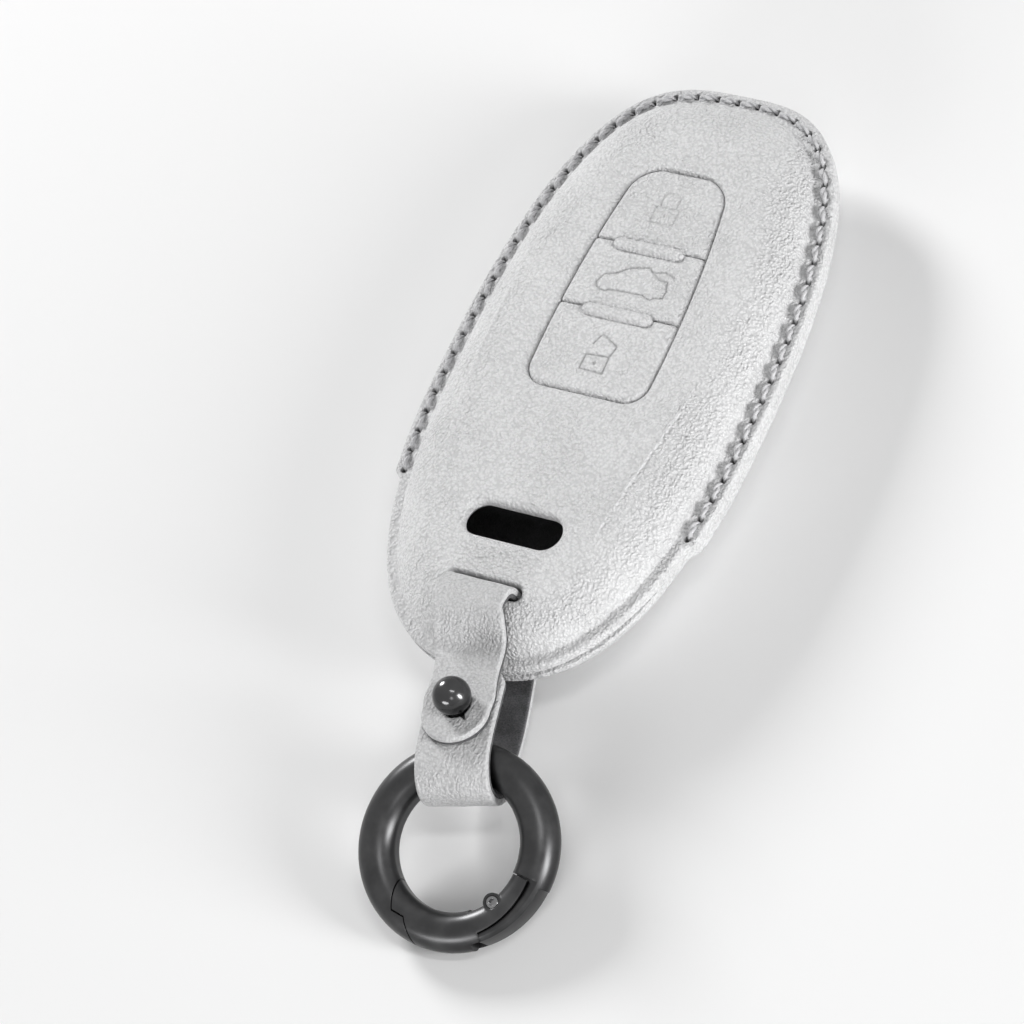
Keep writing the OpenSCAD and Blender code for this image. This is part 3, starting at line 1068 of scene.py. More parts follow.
def paint_seam_shade(obj: Piece, slit: tuple[float, float, Array] | None = None) -> None:
    """Stores painted shade for each point of a shell, by how deep it lies in the shadow of the seam or the
    slit.

    Args:
        obj: The shell.
        slit: Length, width and middle of its slit, if it is to be shaded.
    """
    xy = plan_points(obj)
    seam = CASE.seam()
    near = CASE.inset(xy) < CASE.rim_w
    shade = np.zeros(len(xy))
    holes = np.min(np.linalg.norm(xy[near][:, None] - seam[None], axis=2), axis=1)
    line = segment_distance(xy[near], seam, False)
    # Painted shade in the stitch holes and along the thread's line.
    hole_shade = 0.9 * (1 - smoothstep(0.35, 0.62, holes))
    thread_shade = 0.1 * (1 - smoothstep(0.3, 0.6, line))
    shade[near] = np.maximum(hole_shade, thread_shade)
    # Painted shadow round the slit's rim.
    if slit is not None:
        shade[~near] = 0.55 * (1 - smoothstep(0.05, 0.55, capsule_distance(xy[~near], *slit)))
    store_painted_shade(obj, shade)


@dataclass(frozen=True)
class Crease:
    """A soft raised fold of the front's leather along a line in plan."""

    line: tuple[tuple[float, float], ...]
    height: float
    width: float
    count: int = 90
    rows: tuple[float, ...] = (-0.5, -0.34, -0.22, -0.11, 0.0, 0.11, 0.22, 0.34, 0.5)

    def rise(self, xy: Array) -> Array:
        """How far the fold stands out, fading towards its ends.

        Args:
            xy: Plan points, one row each.

        Returns:
            One height per point.
        """
        line = np.array(self.line)
        low = line[:, 1].min()
        high = line[:, 1].max()
        away = np.abs(xy[:, 1] - (high + low) / 2) / ((high - low) / 2)
        fade = 1 - smoothstep(0.6, 1.0, away)
        return self.height * bell(segment_distance(xy, line, False), self.width) * fade

    def points(self) -> Array:
        """Mesh points along the fold and beside it."""
        return beside(np.array(self.line), self.count, self.rows)


@dataclass
class FrontShell:
    """The stitched front of the case: dome, button opening, window and slit."""

    finishes: Finishes
    window: tuple[float, float, float] = (14.3, 5.0, -26.5)
    slit: tuple[float, float, float] = (11.2, 2.0, -35.65)
    window_swell: float = 0.2
    window_lip: float = 0.65
    slit_swell: float = 0.1
    slit_lip: float = 0.4
    panel_swell: float = 0.12
    panel_lip: float = 0.45
    panel_groove: float = 0.14
    dish: float = 0.72
    dish_w: float = 5.8
    hole_r: float = 0.52
    hole_depth: float = 0.95
    spacing: float = 0.45
    panel_spacing: float = 0.32
    grid_step: float = 0.44
    coarse_step: float = 1.3
    edge_shares: tuple[float, ...] = (0.02, 0.06, 0.12, 0.22, 0.35, 0.48, 0.6, 0.72, 0.84, 0.93)
    insets: tuple[float, ...] = (1.5, 1.56, 1.65, 1.78, 1.95, 2.15, 2.4, 2.7, 3.05, 3.45, 3.9, 4.4, 4.95)
    lip_rows: tuple[float, ...] = (0.03, 0.09, 0.18, 0.3, 0.46, 0.68, 0.95)
    dent_rows: tuple[float, ...] = (0.24, 0.32, 0.4, 0.46)
    right_crease: Crease = Crease((
        (15.6, 2.0), (14.97, -5.56), (13.98, -11.09), (13.03, -16.68), (12.08, -22.24), (11.22, -27.89),
    ), 0.2, 0.2)
    left_crease: Crease = Crease((
        (-16.4, 13.0), (-16.52, 9.72), (-16.46, 3.46), (-16.33, -3.22), (-15.51, -10.63), (-13.89, -19.01),
        (-12.6, -24.0),
    ), 0.22, 0.34)

    def capsules(self) -> list[tuple[float, float, Array]]:
        """Length, width and middle of the window and of the slit."""
        return [(length, width, np.array([0.0, y])) for length, width, y in (self.window, self.slit)]

    def openings(self, extra: float, spacing: float) -> list[Array]:
        """Outlines of the panel, the window and the slit.

        Args:
            extra: How much larger they are made on each side.
            spacing: Distance between two points.

        Returns:
            The three outlines.
        """
        loops = [PANEL.opening(spacing)]
        loops += [capsule_loop(*capsule, spacing) for capsule in self.capsules()]
        return [loop + outward(loop) * extra for loop in loops]

    def distances(self, xy: Array) -> tuple[Array, Array, Array]:
        """Distances from the panel's opening, the window and the slit.

        Args:
            xy: Plan points, one row each.

        Returns:
            One distance per point for each opening. Far from the panel its distance is a large number.
        """
        near = np.hypot(xy[:, 0] / 17.5, (xy[:, 1] - PANEL.low_y - PANEL.length / 2) / 27.0) < 1
        panel = np.full(len(xy), 30.0)
        panel[near] = segment_distance(xy[near], PANEL.opening(0.6), True)
        window, slit = (capsule_distance(xy, *capsule) for capsule in self.capsules())
        return panel, window, slit

    def clear(self, xy: Array, gap: float) -> Array:
        """Which plan points keep a gap from all three openings.

        Args:
            xy: Plan points, one row each.
            gap: The least distance.

        Returns:
            True for each point that does.
        """
        inside_panel = within(xy, PANEL.opening(0.6))
        panel, window, slit = self.distances(xy)
        return (panel > gap) & ~inside_panel & (window > gap) & (slit > gap)

    def top(self, xy: Array) -> Array:
        """Places of the outer face.

        Args:
            xy: Plan points, one row each.

        Returns:
            One place per point.
        """
        inset = CASE.inset(xy)
        share = (inset - CASE.rim_w) / CASE.front_width
        z = CASE.flange_z + CASE.dome * CASE.front_rise(share) * smoothstep(0.0, 0.05, share)
        panel, window, slit = self.distances(xy)
        z -= self.dish * (1 - smoothstep(0.3, self.dish_w, panel))
        z += self.window_swell * bell(window - 1.2, 0.7) - lip(window, self.window_lip)
        z += self.slit_swell * bell(slit - 1.0, 0.7) - lip(slit, self.slit_lip)
        z += self.panel_swell * bell(panel - 1.15, 0.4) - lip(panel, self.panel_lip)
        z -= self.panel_groove * bell(panel, 0.35)
        z += self.right_crease.rise(xy)
        z += self.left_crease.rise(xy)
        z -= lip(inset - CASE.edge_inset(xy[:, 1]), CASE.outer_lip)
        z -= CASE.dip(xy, inset)
        flange = inset < CASE.rim_w
        holes = np.min(np.linalg.norm(xy[flange][:, None] - CASE.seam()[None], axis=2), axis=1)
        z[flange] -= self.hole_depth * (1 - smoothstep(self.hole_r * 0.6, self.hole_r + 0.02, holes))
        return np.column_stack([xy, z])

    def bottom(self, xy: Array) -> Array:
        """Places of the inner face.

        Args:
            xy: Plan points, one row each.

        Returns:
            One place per point.
        """
        inset = CASE.inset(xy)
        start = CASE.rim_w + CASE.leather
        share = (inset - start) / (CASE.front_width - CASE.leather / 2)
        z = CASE.seam_z + CASE.dome * CASE.front_rise(share)
        edge = inset - CASE.edge_inset(xy[:, 1])
        return np.column_stack([xy, z + lip(edge, CASE.inner_lip) * CASE.unstitched(xy[:, 1])])

    def top_points(self) -> Array:
        """Mesh points of the outer face, closer together where it bends.

        Returns:
            The plan points.
        """
        seam = CASE.seam()
        rings = [CASE.edge_outline(share, self.spacing) for share in self.edge_shares]
        rings += [CASE.inset_outline(inset, self.spacing) for inset in self.insets]
        rings = far_from(np.vstack(rings), seam, self.hole_r + 0.18)
        turn = np.linspace(0, 2 * math.pi, 12, endpoint=False)
        circle = np.stack([np.cos(turn), np.sin(turn)], axis=1)
        dents = [seam]
        for r in (*self.dent_rows, self.hole_r, self.hole_r + 0.1):
            dents.append((seam[:, None] + circle[None] * r).reshape(-1, 2))
        lips = [loop for extra in self.lip_rows for loop in self.openings(extra, self.panel_spacing)]
        folds = np.vstack([self.right_crease.points(), self.left_crease.points()])
        folds = far_from(folds, np.vstack([*lips, rings]), 0.2)
        grid = CASE.grid(self.grid_step, 5.25)
        grid = far_from(grid[self.clear(grid, 1.2)], folds, 0.3)
        return np.vstack([rings, *dents, *lips, folds, grid])

    def build(self) -> None:
        """Builds the shell and puts it in place of the CAD solid."""
        loops = [CASE.edge_outline(0.0, self.spacing), *self.openings(0.0, self.panel_spacing)]
        coarse = hex_grid((-CASE.half_w - 1, -CASE.grid_y), (CASE.half_w + 1, CASE.grid_y), self.coarse_step)
        coarse = coarse[(CASE.inset(coarse) > 0.8) & self.clear(coarse, 0.5)]
        slab = Slab(loops, self.top_points(), coarse, self.top, self.bottom, 3)
        obj = slab.build("front_leather", self.finishes.shell, 50)
        # Painted shade at the seam and round the slit.
        paint_seam_shade(obj, self.capsules()[1])
        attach(obj, "case")
        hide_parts("front_shell")
        LOG.info("front_leather: %d faces", len(obj.data.polygons))


@dataclass
class BackShell:
    """The back of the case with the mouth flap, in one piece."""

    finishes: Finishes
    blend_from: float = -20.6
    blend_to: float = -25.6
    edge_shares: tuple[float, ...] = (0.03, 0.08, 0.16, 0.3, 0.5, 0.7, 0.9)
    outer_insets: tuple[float, ...] = (1.5, 1.57, 1.68, 1.85, 2.05, 2.35, 2.7, 3.1, 3.6, 4.2)
    inner_insets: tuple[float, ...] = (1.2, 2.2, 3.0, 3.08, 3.25, 3.5, 3.9, 4.5)

    def rim_top(self, xy: Array) -> Array:
        """Height of the face that meets the front."""
        closing = smoothstep(CASE.fold_y - CASE.mouth_span, CASE.fold_y - 5.0, xy[:, 1])
        return CASE.seam_z - CASE.mouth_gap * (1 - 0.85 * closing)

    def inner(self, xy: Array) -> Array:
        """Places of the inner face.

        Args:
            xy: Plan points, one row each.

        Returns:
            One place per point.
        """
        inset = CASE.inset(xy)
        share = (inset - CASE.rim_w - CASE.leather) / (CASE.back_width - CASE.leather / 2)
        depth = CASE.seam_z - CASE.leather
        z = self.rim_top(xy) - depth * CASE.back_rise(share)
        edge = inset - CASE.edge_inset(xy[:, 1])
        return np.column_stack([xy, z - lip(edge, CASE.inner_lip) * CASE.unstitched(xy[:, 1])])

    def outer(self, xy: Array) -> Array:
        """Places of the outer face.

        Args:
            xy: Plan points, one row each.

        Returns:
            One place per point.
        """
        inset = CASE.inset(xy)
        share = (inset - CASE.rim_w) / CASE.back_width
        z = CASE.back_z - CASE.back_z * CASE.back_rise(share) * smoothstep(0.0, 0.06, share)
        z = z + lip(inset - CASE.edge_inset(xy[:, 1]), CASE.outer_lip)
        z = z + CASE.dip(xy, inset)
        return np.column_stack([xy, z])

    def build(self) -> None:
        """Builds the back leather."""
        outer_points = [CASE.edge_outline(share, 0.6) for share in self.edge_shares]
        outer_points += [CASE.inset_outline(inset, 0.6) for inset in self.outer_insets]
        outer_points.append(CASE.grid(0.75, 4.6))
        inner_points = [CASE.inset_outline(inset, 0.8) for inset in self.inner_insets]
        inner_points.append(CASE.grid(1.2, 5.3))
        edge = CASE.edge_outline(0.0, 0.6)
        slab = Slab([edge], np.vstack(inner_points), np.vstack(outer_points), self.inner, self.outer, 3)
        obj = slab.build("back_leather", self.finishes.shell, 50)
        combine(obj, [STRAP.back_slit_tool(self.finishes.shell)], Cut.AWAY)
        dress(obj, self.finishes.shell, 50)
        # Painted shade at the seam.
        paint_seam_shade(obj)
        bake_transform(obj)
        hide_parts("back_shell", "mouth_flap")
        LOG.info("back_leather: %d faces", len(obj.data.polygons))


@dataclass
class Linings:
    """The dark suede inside both halves."""

    finishes: Finishes
    gap: float = 0.05
    thickness: float = 0.5
    rows: tuple[float, ...] = (0.08, 0.2, 0.35, 0.5, 0.58, 0.7, 0.9, 1.3, 1.9)

    def start(self, inner: bool) -> float:
        """Inset at which a face of the lining begins."""
        return CASE.rim_w + CASE.leather + self.gap + (self.thickness if inner else 0.0)

    def front_face(self, xy: Array, inner: bool) -> Array:
        """Places of one face of the front lining.

        Args:
            xy: Plan points, one row each.
            inner: Whether it is the face towards the key.

        Returns:
            The places.
        """
        depth = CASE.dome - 2 * self.gap - (self.thickness if inner else 0.0)
        share = (CASE.inset(xy) - self.start(inner)) / (CASE.front_width - CASE.leather / 2)
        return np.column_stack([xy, CASE.seam_z + depth * CASE.front_rise(share)])

    def back_face(self, xy: Array, inner: bool) -> Array:
        """Places of one face of the back lining.

        Args:
            xy: Plan points, one row each.
            inner: Whether it is the face towards the key.

        Returns:
            The places.
        """
        rim = CASE.seam_z - CASE.mouth_gap * (1 - smoothstep(CASE.fold_y - 1.5, CASE.fold_y + 0.5, xy[:, 1]))
        depth = CASE.seam_z - CASE.leather - 2 * self.gap - (self.thickness if inner else 0.0)
        share = (CASE.inset(xy) - self.start(inner)) / (CASE.back_width - CASE.leather / 2)
        return np.column_stack([xy, rim - depth * CASE.back_rise(share)])

    def build(self, shell: FrontShell) -> None:
        """Builds both linings.

        Args:
            shell: The front, whose openings go through the front lining too.
        """
        start = self.start(False)
        edge = CASE.inset_outline(start, 0.8)
        rings = [CASE.inset_outline(start + row, 0.8) for row in self.rows]
        points = np.vstack([*rings, CASE.grid(1.1, start + 2.6)])
        free = points[shell.clear(points, 0.8)]
        front = Slab(
            [edge, *shell.openings(0.3, 0.6)], free, free,
            lambda xy: self.front_face(xy, False), lambda xy: self.front_face(xy, True),
        )
        obj = front.build("front_suede", self.finishes.lining)
        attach(obj, "case")
        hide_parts("front_lining")
        back = Slab(
            [edge], points, points,
            lambda xy: self.back_face(xy, True), lambda xy: self.back_face(xy, False),
        )
        obj = back.build("back_suede", self.finishes.lining)
        combine(obj, [STRAP.back_slit_tool(self.finishes.lining)], Cut.AWAY)
        dress(obj, self.finishes.lining, 40)
        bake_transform(obj)
        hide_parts("back_lining", "mouth_lining")
        LOG.info("linings built")


@dataclass
class Stitching:
    """Saddle stitches on both faces of the rim, laid by geometry nodes."""

    finishes: Finishes
    thread_r: float = 0.44
    slant: float = 13.0
    share: float = 0.94
    arch: float = 0.42
    sink: float = 0.5
    sides: int = 5
    rings: int = 9
    seed: int = 7
    wander: float = 0.06

    def one_stitch(self, pitch: float) -> Piece:
        """One stitch of two twisted plies along X, whose ends dive into the holes.

        Args:
            pitch: Distance between two holes.

        Returns:
            The object, hidden in renders.
        """
        sides = self.sides
        rings = self.rings
        vertices = []
        faces = []
        for ply in (0, 1):
            base = len(vertices)
            for k in range(rings):
                t = k / (rings - 1)
                x = (t - 0.5) * pitch * self.share
                z = -self.sink + (self.arch + self.sink) * math.sin(math.pi * t) ** 0.6
                turn = ply * math.pi + t * 2.2 * math.pi
                r = self.thread_r * (0.62 if 0 < k < rings - 1 else 0.45)
                cy = 0.5 * self.thread_r * math.cos(turn)
                cz = 0.5 * self.thread_r * math.sin(turn)
                for i in range(sides):
                    a = 2 * math.pi * i / sides
                    vertices.append((x, cy + r * math.cos(a), z + cz + r * math.sin(a)))
            for k in range(rings - 1):
                for i in range(sides):
                    j = (i + 1) % sides
                    a = base + k * sides
                    b = a + sides
                    faces.append((a + i, a + j, b + j, b + i))
            last = base + (rings - 1) * sides
            faces += [tuple(base + i for i in range(sides))[::-1], tuple(last + i for i in range(sides))]
        obj = new_object("one_stitch", np.array(vertices), faces, self.finishes.thread, 80)
        obj.hide_render = True
        return obj

    def tree(self) -> bpy.types.NodeTree:
        """Geometry nodes that set a stitch on every point, turned by an attribute.

        Returns:
            The node tree.
        """
        tree = bpy.data.node_groups.new("stitch_line", "GeometryNodeTree")
        face = tree.interface
        face.new_socket("Geometry", in_out="INPUT", socket_type="NodeSocketGeometry")
        face.new_socket("Stitch", in_out="INPUT", socket_type="NodeSocketObject")
        face.new_socket("Thread", in_out="INPUT", socket_type="NodeSocketMaterial")
        seed = face.new_socket("Seed", in_out="INPUT", socket_type="NodeSocketInt")
        seed.default_value = self.seed
        wander = face.new_socket("Wander", in_out="INPUT", socket_type="NodeSocketFloat")
        wander.default_value = self.wander
        face.new_socket("Geometry", in_out="OUTPUT", socket_type="NodeSocketGeometry")
        nodes = tree.nodes
        links = tree.links
        source = nodes.new("NodeGroupInput")
        sink = nodes.new("NodeGroupOutput")
        info = nodes.new("GeometryNodeObjectInfo")
        links.new(source.outputs["Stitch"], info.inputs["Object"])
        turn = nodes.new("GeometryNodeInputNamedAttribute")
        turn.data_type = "FLOAT_VECTOR"
        turn.inputs["Name"].default_value = "turn"
        random = nodes.new("FunctionNodeRandomValue")
        random.data_type = "FLOAT_VECTOR"
        for way, socket in ((-1.0, "Min"), (1.0, "Max")):
            scaled = nodes.new("ShaderNodeVectorMath")
            scaled.operation = "SCALE"
            scaled.inputs[0].default_value = (0.3 * way, 0.3 * way, way)
            links.new(source.outputs["Wander"], scaled.inputs["Scale"])
            links.new(scaled.outputs[0], random.inputs[socket])
        links.new(source.outputs["Seed"], random.inputs["Seed"])
        add = nodes.new("ShaderNodeVectorMath")
        links.new(turn.outputs["Attribute"], add.inputs[0])
        links.new(random.outputs[0], add.inputs[1])
        put = nodes.new("GeometryNodeInstanceOnPoints")
        links.new(source.outputs["Geometry"], put.inputs["Points"])
        links.new(info.outputs["Geometry"], put.inputs["Instance"])
        links.new(add.outputs[0], put.inputs["Rotation"])
        real = nodes.new("GeometryNodeRealizeInstances")
        links.new(put.outputs["Instances"], real.inputs["Geometry"])
        colour = nodes.new("GeometryNodeSetMaterial")
        links.new(real.outputs["Geometry"], colour.inputs["Geometry"])
        links.new(source.outputs["Thread"], colour.inputs["Material"])
        links.new(colour.outputs["Geometry"], sink.inputs["Geometry"])
        return tree

    def build(self) -> None:
        """Builds all stitches as one mesh."""
        seam = CASE.seam()
        middle = (seam[1:] + seam[:-1]) / 2
        along = seam[1:] - seam[:-1]
        pitch = float(np.linalg.norm(along, axis=1).mean())
        angles = np.arctan2(along[:, 1], along[:, 0])
        slant = math.radians(self.slant)
        points = np.vstack([
            np.column_stack([middle, np.full(len(middle), CASE.flange_z - 0.1)]),
            np.column_stack([middle, np.full(len(middle), CASE.back_z + 0.1)]),
        ])
        turns = [(0.0, 0.0, a + slant) for a in angles] + [(math.pi, 0.0, a - slant) for a in angles]
        mesh = bpy.data.meshes.new("seam_points")
        mesh.from_pydata((points * MM).tolist(), [], [])
        attribute = mesh.attributes.new("turn", "FLOAT_VECTOR", "POINT")
        attribute.data.foreach_set("vector", np.array(turns, np.float32).ravel())
        obj = bpy.data.objects.new("seam_stitches", mesh)
        bpy.context.scene.collection.objects.link(obj)
        stitch = self.one_stitch(pitch)
        step = obj.modifiers.new("stitches", "NODES")
        tree = self.tree()
        step.node_group = tree
        sockets = {s.name: s.identifier for s in tree.interface.items_tree if s.in_out == "INPUT"}
        step[sockets["Stitch"]] = stitch
        step[sockets["Thread"]] = self.finishes.thread
        step[sockets["Seed"]] = self.seed
        step[sockets["Wander"]] = self.wander
        applied(obj)
        dress(obj, self.finishes.thread, 80)
        bpy.data.objects.remove(stitch)
        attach(obj, "case")
        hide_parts("seam_thread")
        LOG.info("seam_stitches: %d faces", len(obj.data.polygons))


# The buttons


class Icon(Enum):
    """Signs pressed into the pads, as lines in plan in millimetres."""

    LOCKED = (
        ((-1.7, 20.9), (1.75, 20.9), (1.75, 23.4), (-1.7, 23.4), (-1.7, 20.9)),
        ((-1.2, 23.4), (-1.25, 25.2), (-0.6, 25.6), (0.7, 25.6), (1.25, 25.2), (1.2, 23.4)),
        ((0.0, 22.0), (0.02, 22.3)),
    )
    BOOT = (
        (
            (2.3, 13.5), (1.4, 14.1), (-1.27, 13.5), (-2.6, 12.45), (-4.4, 11.9), (-4.95, 10.6), (-4.6, 9.9),
            (-4.0, 9.55), (-3.3, 9.5), (-2.7, 9.75), (-1.6, 9.85), (2.3, 9.95), (2.75, 9.65), (3.5, 9.55),
            (4.1, 9.9), (5.15, 10.1), (5.25, 11.2), (4.85, 12.55), (3.6, 12.65),
        ),
        ((2.3, 13.5), (3.9, 13.95), (5.4, 13.4)),
        ((2.3, 13.5), (3.6, 12.65)),
    )
    OPEN = (
        ((-1.55, -2.4), (1.95, -2.5), (1.85, 0.05), (-1.5, -0.15), (-1.55, -2.4)),
        ((1.85, 0.1), (2.25, 1.75), (-0.5, 3.2), (-1.2, 1.6)),
        ((0.0, -1.2), (0.18, -1.4), (0.38, -1.2), (0.18, -0.98), (0.0, -1.2)),
    )


@dataclass
class ButtonPanel:
    """Three pads with pressed signs, and the dividers between them."""

    finishes: Finishes
    unlock_len: float = 12.2
    boot_len: float = 10.4
    divider_w: float = 0.9
    bar_len: float = 10.4
    bar_w: float = 1.8
    bar_h: float = 0.5
    gap: float = 0.08
    pillow: float = 0.14
    rim_lip: float = 0.62
    sign_w: float = 0.15
    ridge: float = 0.35
    ridge_away: float = 0.42
    # How dark the painted shade in a sign's pressed lines is for each millimetre of their depth.
    sign_painted_shade: float = 2.2
    sign_depth: float = 0.16
    lock_sign_depth: float = 0.1
    sign_rows: tuple[float, ...] = (-0.2, -0.1, 0.0, 0.1, 0.2)
    half_grid: float = 11.0

    @property
    def middles(self) -> tuple[float, float]:
        """Heights of both dividers over the panel's lower edge."""
        return self.unlock_len, self.unlock_len + self.boot_len

    def grooves(self) -> list[Array]:
        """The lines of the grooves on the upper side of each divider, from the panel's edge to the bar.

        Returns:
            Two lines for each divider.
        """
        end = self.bar_len / 2 - 0.5
        lines = []
        for middle in self.middles:
            y = middle + self.divider_w / 2 + PANEL.low_y
            edge = float(PANEL.half(np.array([middle]))[0])
            lines += [np.array([[side * edge, y], [side * end, y]]) for side in (-1, 1)]
        return lines

    def height(self, xy: Array) -> Array:
        """Height of the panel's face: soft at its edge, its grooves and round its bars.

        Args:
            xy: Plan points, one row each.

        Returns:
            One height per point.
        """
        rim = segment_distance(xy, PANEL.loop(self.gap, 0.0, PANEL.length, 0.4), True)
        groove = np.minimum.reduce([segment_distance(xy, line, False) for line in self.grooves()])
        bars = np.minimum.reduce([
            capsule_distance(xy, self.bar_len, self.bar_w, np.array([0.0, PANEL.low_y + middle]))
            for middle in self.middles
        ])
        groove = np.where(bars > 0, groove, 9.0)
        nearest = np.minimum(np.minimum(rim, groove), np.clip(bars, 0, None))
        pillow = self.pillow * smoothstep(0.1, 2.2, nearest)
        soft = 0.2 * bell(bars, 0.2) + 0.26 * bell(rim, 0.42) + 0.16 * bell(groove, 0.34)
        groove_lip = 0.75 * lip(groove - self.gap / 2, 0.45)
        return PANEL.pad_z - lip(rim, self.rim_lip) - groove_lip + pillow - soft

    def sign_distance(self, xy: Array, icon: Icon) -> Array:
        """Distance of plan points from a sign's lines.

        Args:
            xy: Plan points, one row each.
            icon: The sign.

        Returns:
            One distance per point.
        """
        return np.minimum.reduce([segment_distance(xy, np.array(line), False) for line in icon.value])

    def sign_points(self, icon: Icon) -> Array:
        """Points along a sign's lines and beside them.

        Args:
            icon: The sign.

        Returns:
            The plan points.
        """
        rows = []
        for line in icon.value:
            count = max(3, int(arc_length(np.array(line))[-1] / 0.11))
            rows.append(beside(np.array(line), count, self.sign_rows))
        return np.vstack(rows)

    def region(self, step: float, outline: Array, low: float, high: float, gap: float) -> Array:
        """Grid points that lie inside an outline and keep a gap from it.

        Args:
            step: Side of each triangle of the grid.
            outline: The outline.
            low: Height at which the grid begins.
            high: Height at which it ends.
            gap: Least distance from the outline.

        Returns:
            The plan points.
        """
        grid = hex_grid((-self.half_grid, low), (self.half_grid, high), step)
        grid = grid[within(grid, outline)]
        return grid[segment_distance(grid, outline, True) > gap]

    def pad(self, name: str, node: str, body: str, low: float, high: float, icon: Icon, depth: float) -> None:
        """Builds one pad.

        Args:
            name: Name of the object.
            node: The CAD node that it stands for.
            body: The body that it moves with.
            low: Its lower height over the panel's lower edge.
            high: Its upper height.
            icon: The sign pressed into it.
            depth: How deep the sign is pressed.
        """
        loop = PANEL.loop(self.gap, low, high, 0.3)

        def top(xy: Array) -> Array:
            """Upper face with the sign's pressed lines and the low ridges beside them.

            Args:
                xy: Plan points, one row each.

            Returns:
                One place per point.
            """
            lines = self.sign_distance(xy, icon)
            pressed = self.ridge * bell(lines - self.ridge_away, 0.2) - bell(lines, self.sign_w)
            return np.column_stack([xy, self.height(xy) + depth * pressed])

        def bottom(xy: Array) -> Array:
            """Lower face."""
            return np.column_stack([xy, np.full(len(xy), PANEL.pad_z - PANEL.pad_t)])

        rings = [loop - outward(loop) * d for d in (0.04, 0.1, 0.18, 0.3)]
        panel_top = PANEL.low_y + PANEL.length
        signs = self.sign_points(icon)
        grid = far_from(self.region(0.14, loop, PANEL.low_y, panel_top, 0.38), signs, 0.1)
        coarse = self.region(1.2, loop, PANEL.low_y, panel_top, 0.5)
        slab = Slab([loop], np.vstack([*rings, signs, grid]), coarse, top, bottom, 2)
        obj = slab.build(name, self.finishes.shell, 60)
        # Painted shade in the signs' pressed lines, darker where they are pressed deeper.
        store_painted_shade(obj, self.sign_painted_shade * depth * bell(self.sign_distance(plan_points(obj), icon), 0.16))
        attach(obj, body)
        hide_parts(node)
        LOG.info("%s: %d faces", name, len(obj.data.polygons))

    def divider_outline(self, middle: float, centre: Array) -> Array:
        """Outline of a divider: a narrow strip that widens to the bar in its middle.

        Args:
            middle: Its height over the panel's lower edge.
            centre: The bar's middle in plan.

        Returns:
            The plan points, anticlockwise.
        """
        half = self.divider_w / 2
        loop = PANEL.loop(self.gap, middle - half, middle + half - self.gap / 2, 0.2)
        bar = capsule_loop(self.bar_len, self.bar_w, centre, 0.2)
        strip = loop[np.abs(loop[:, 0]) > self.bar_len / 2 - 0.55]
        right = strip[strip[:, 0] > 0]
        left = strip[strip[:, 0] < 0]
        right = right[np.argsort(np.arctan2(right[:, 1] - centre[1], right[:, 0] - self.bar_len / 2))]
        left = left[np.argsort(np.arctan2(centre[1] - left[:, 1], self.bar_len / -2 - left[:, 0]))]
        outer = bar[capsule_distance(bar, 2 * PANEL.low_w, self.divider_w + 0.2, centre) > 0.02]
        upper = outer[outer[:, 1] > centre[1]]
        lower = outer[outer[:, 1] < centre[1]]
        upper = upper[np.argsort(-upper[:, 0])]
        lower = lower[np.argsort(lower[:, 0])]
        return np.vstack([right, upper, left, lower])

    def divider(self, name: str, node: str, middle: float) -> None:
        """Builds a divider strip with its raised bar.

        Args:
            name: Name of the object.
            node: The CAD node that it stands for.
            middle: Its height over the panel's lower edge.
        """
        centre = np.array([0.0, PANEL.low_y + middle])
        outline = self.divider_outline(middle, centre)

        def top(xy: Array) -> Array:
            """Upper face: a flat strip with a soft bar.

            Args:
                xy: Plan points, one row each.

            Returns:
                One place per point.
            """
            d = -capsule_distance(xy, self.bar_len, self.bar_w, centre)
            share = np.clip(d / (self.bar_w / 2), 0, 1)
            raised = (self.bar_h + 0.08) * np.sqrt(np.clip(1 - (1 - share) ** 2, 0, 1))
            return np.column_stack([xy, np.where(d > 0, PANEL.pad_z + raised, self.height(xy))])

        def bottom(xy: Array) -> Array:
            """Lower face."""
            deep = capsule_distance(xy, 2 * PANEL.low_w, self.divider_w + 0.3, centre)
            return np.column_stack([xy, PANEL.pad_z + 0.02 - (PANEL.pad_t - 0.1) * (deep < 0)])

        grid = self.region(0.16, outline, centre[1] - 1.2, centre[1] + 1.2, 0.1)
        obj = Slab([outline], grid, grid, top, bottom).build(name, self.finishes.shell, 60)
        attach(obj, "case")
        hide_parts(node)
        LOG.info("%s: %d faces", name, len(obj.data.polygons))

    def build(self) -> None:
        """Builds the pads and the dividers."""
        first, second = self.middles
        half = self.divider_w / 2
        low, high = first + half + self.gap / 2, second + half + self.gap / 2
        deep, shallow = self.sign_depth, self.lock_sign_depth
        self.pad("unlock_leather", "unlock_pad", "unlock_button", 0.0, first - half, Icon.OPEN, deep)
        self.pad("boot_leather", "boot_pad", "boot_button", low, second - half, Icon.BOOT, deep)
        self.pad("lock_leather", "lock_pad", "lock_button", high, PANEL.length, Icon.LOCKED, shallow)
        self.divider("lower_strip", "lower_divider", first)
        self.divider("upper_strip", "upper_divider", second)


# The strap


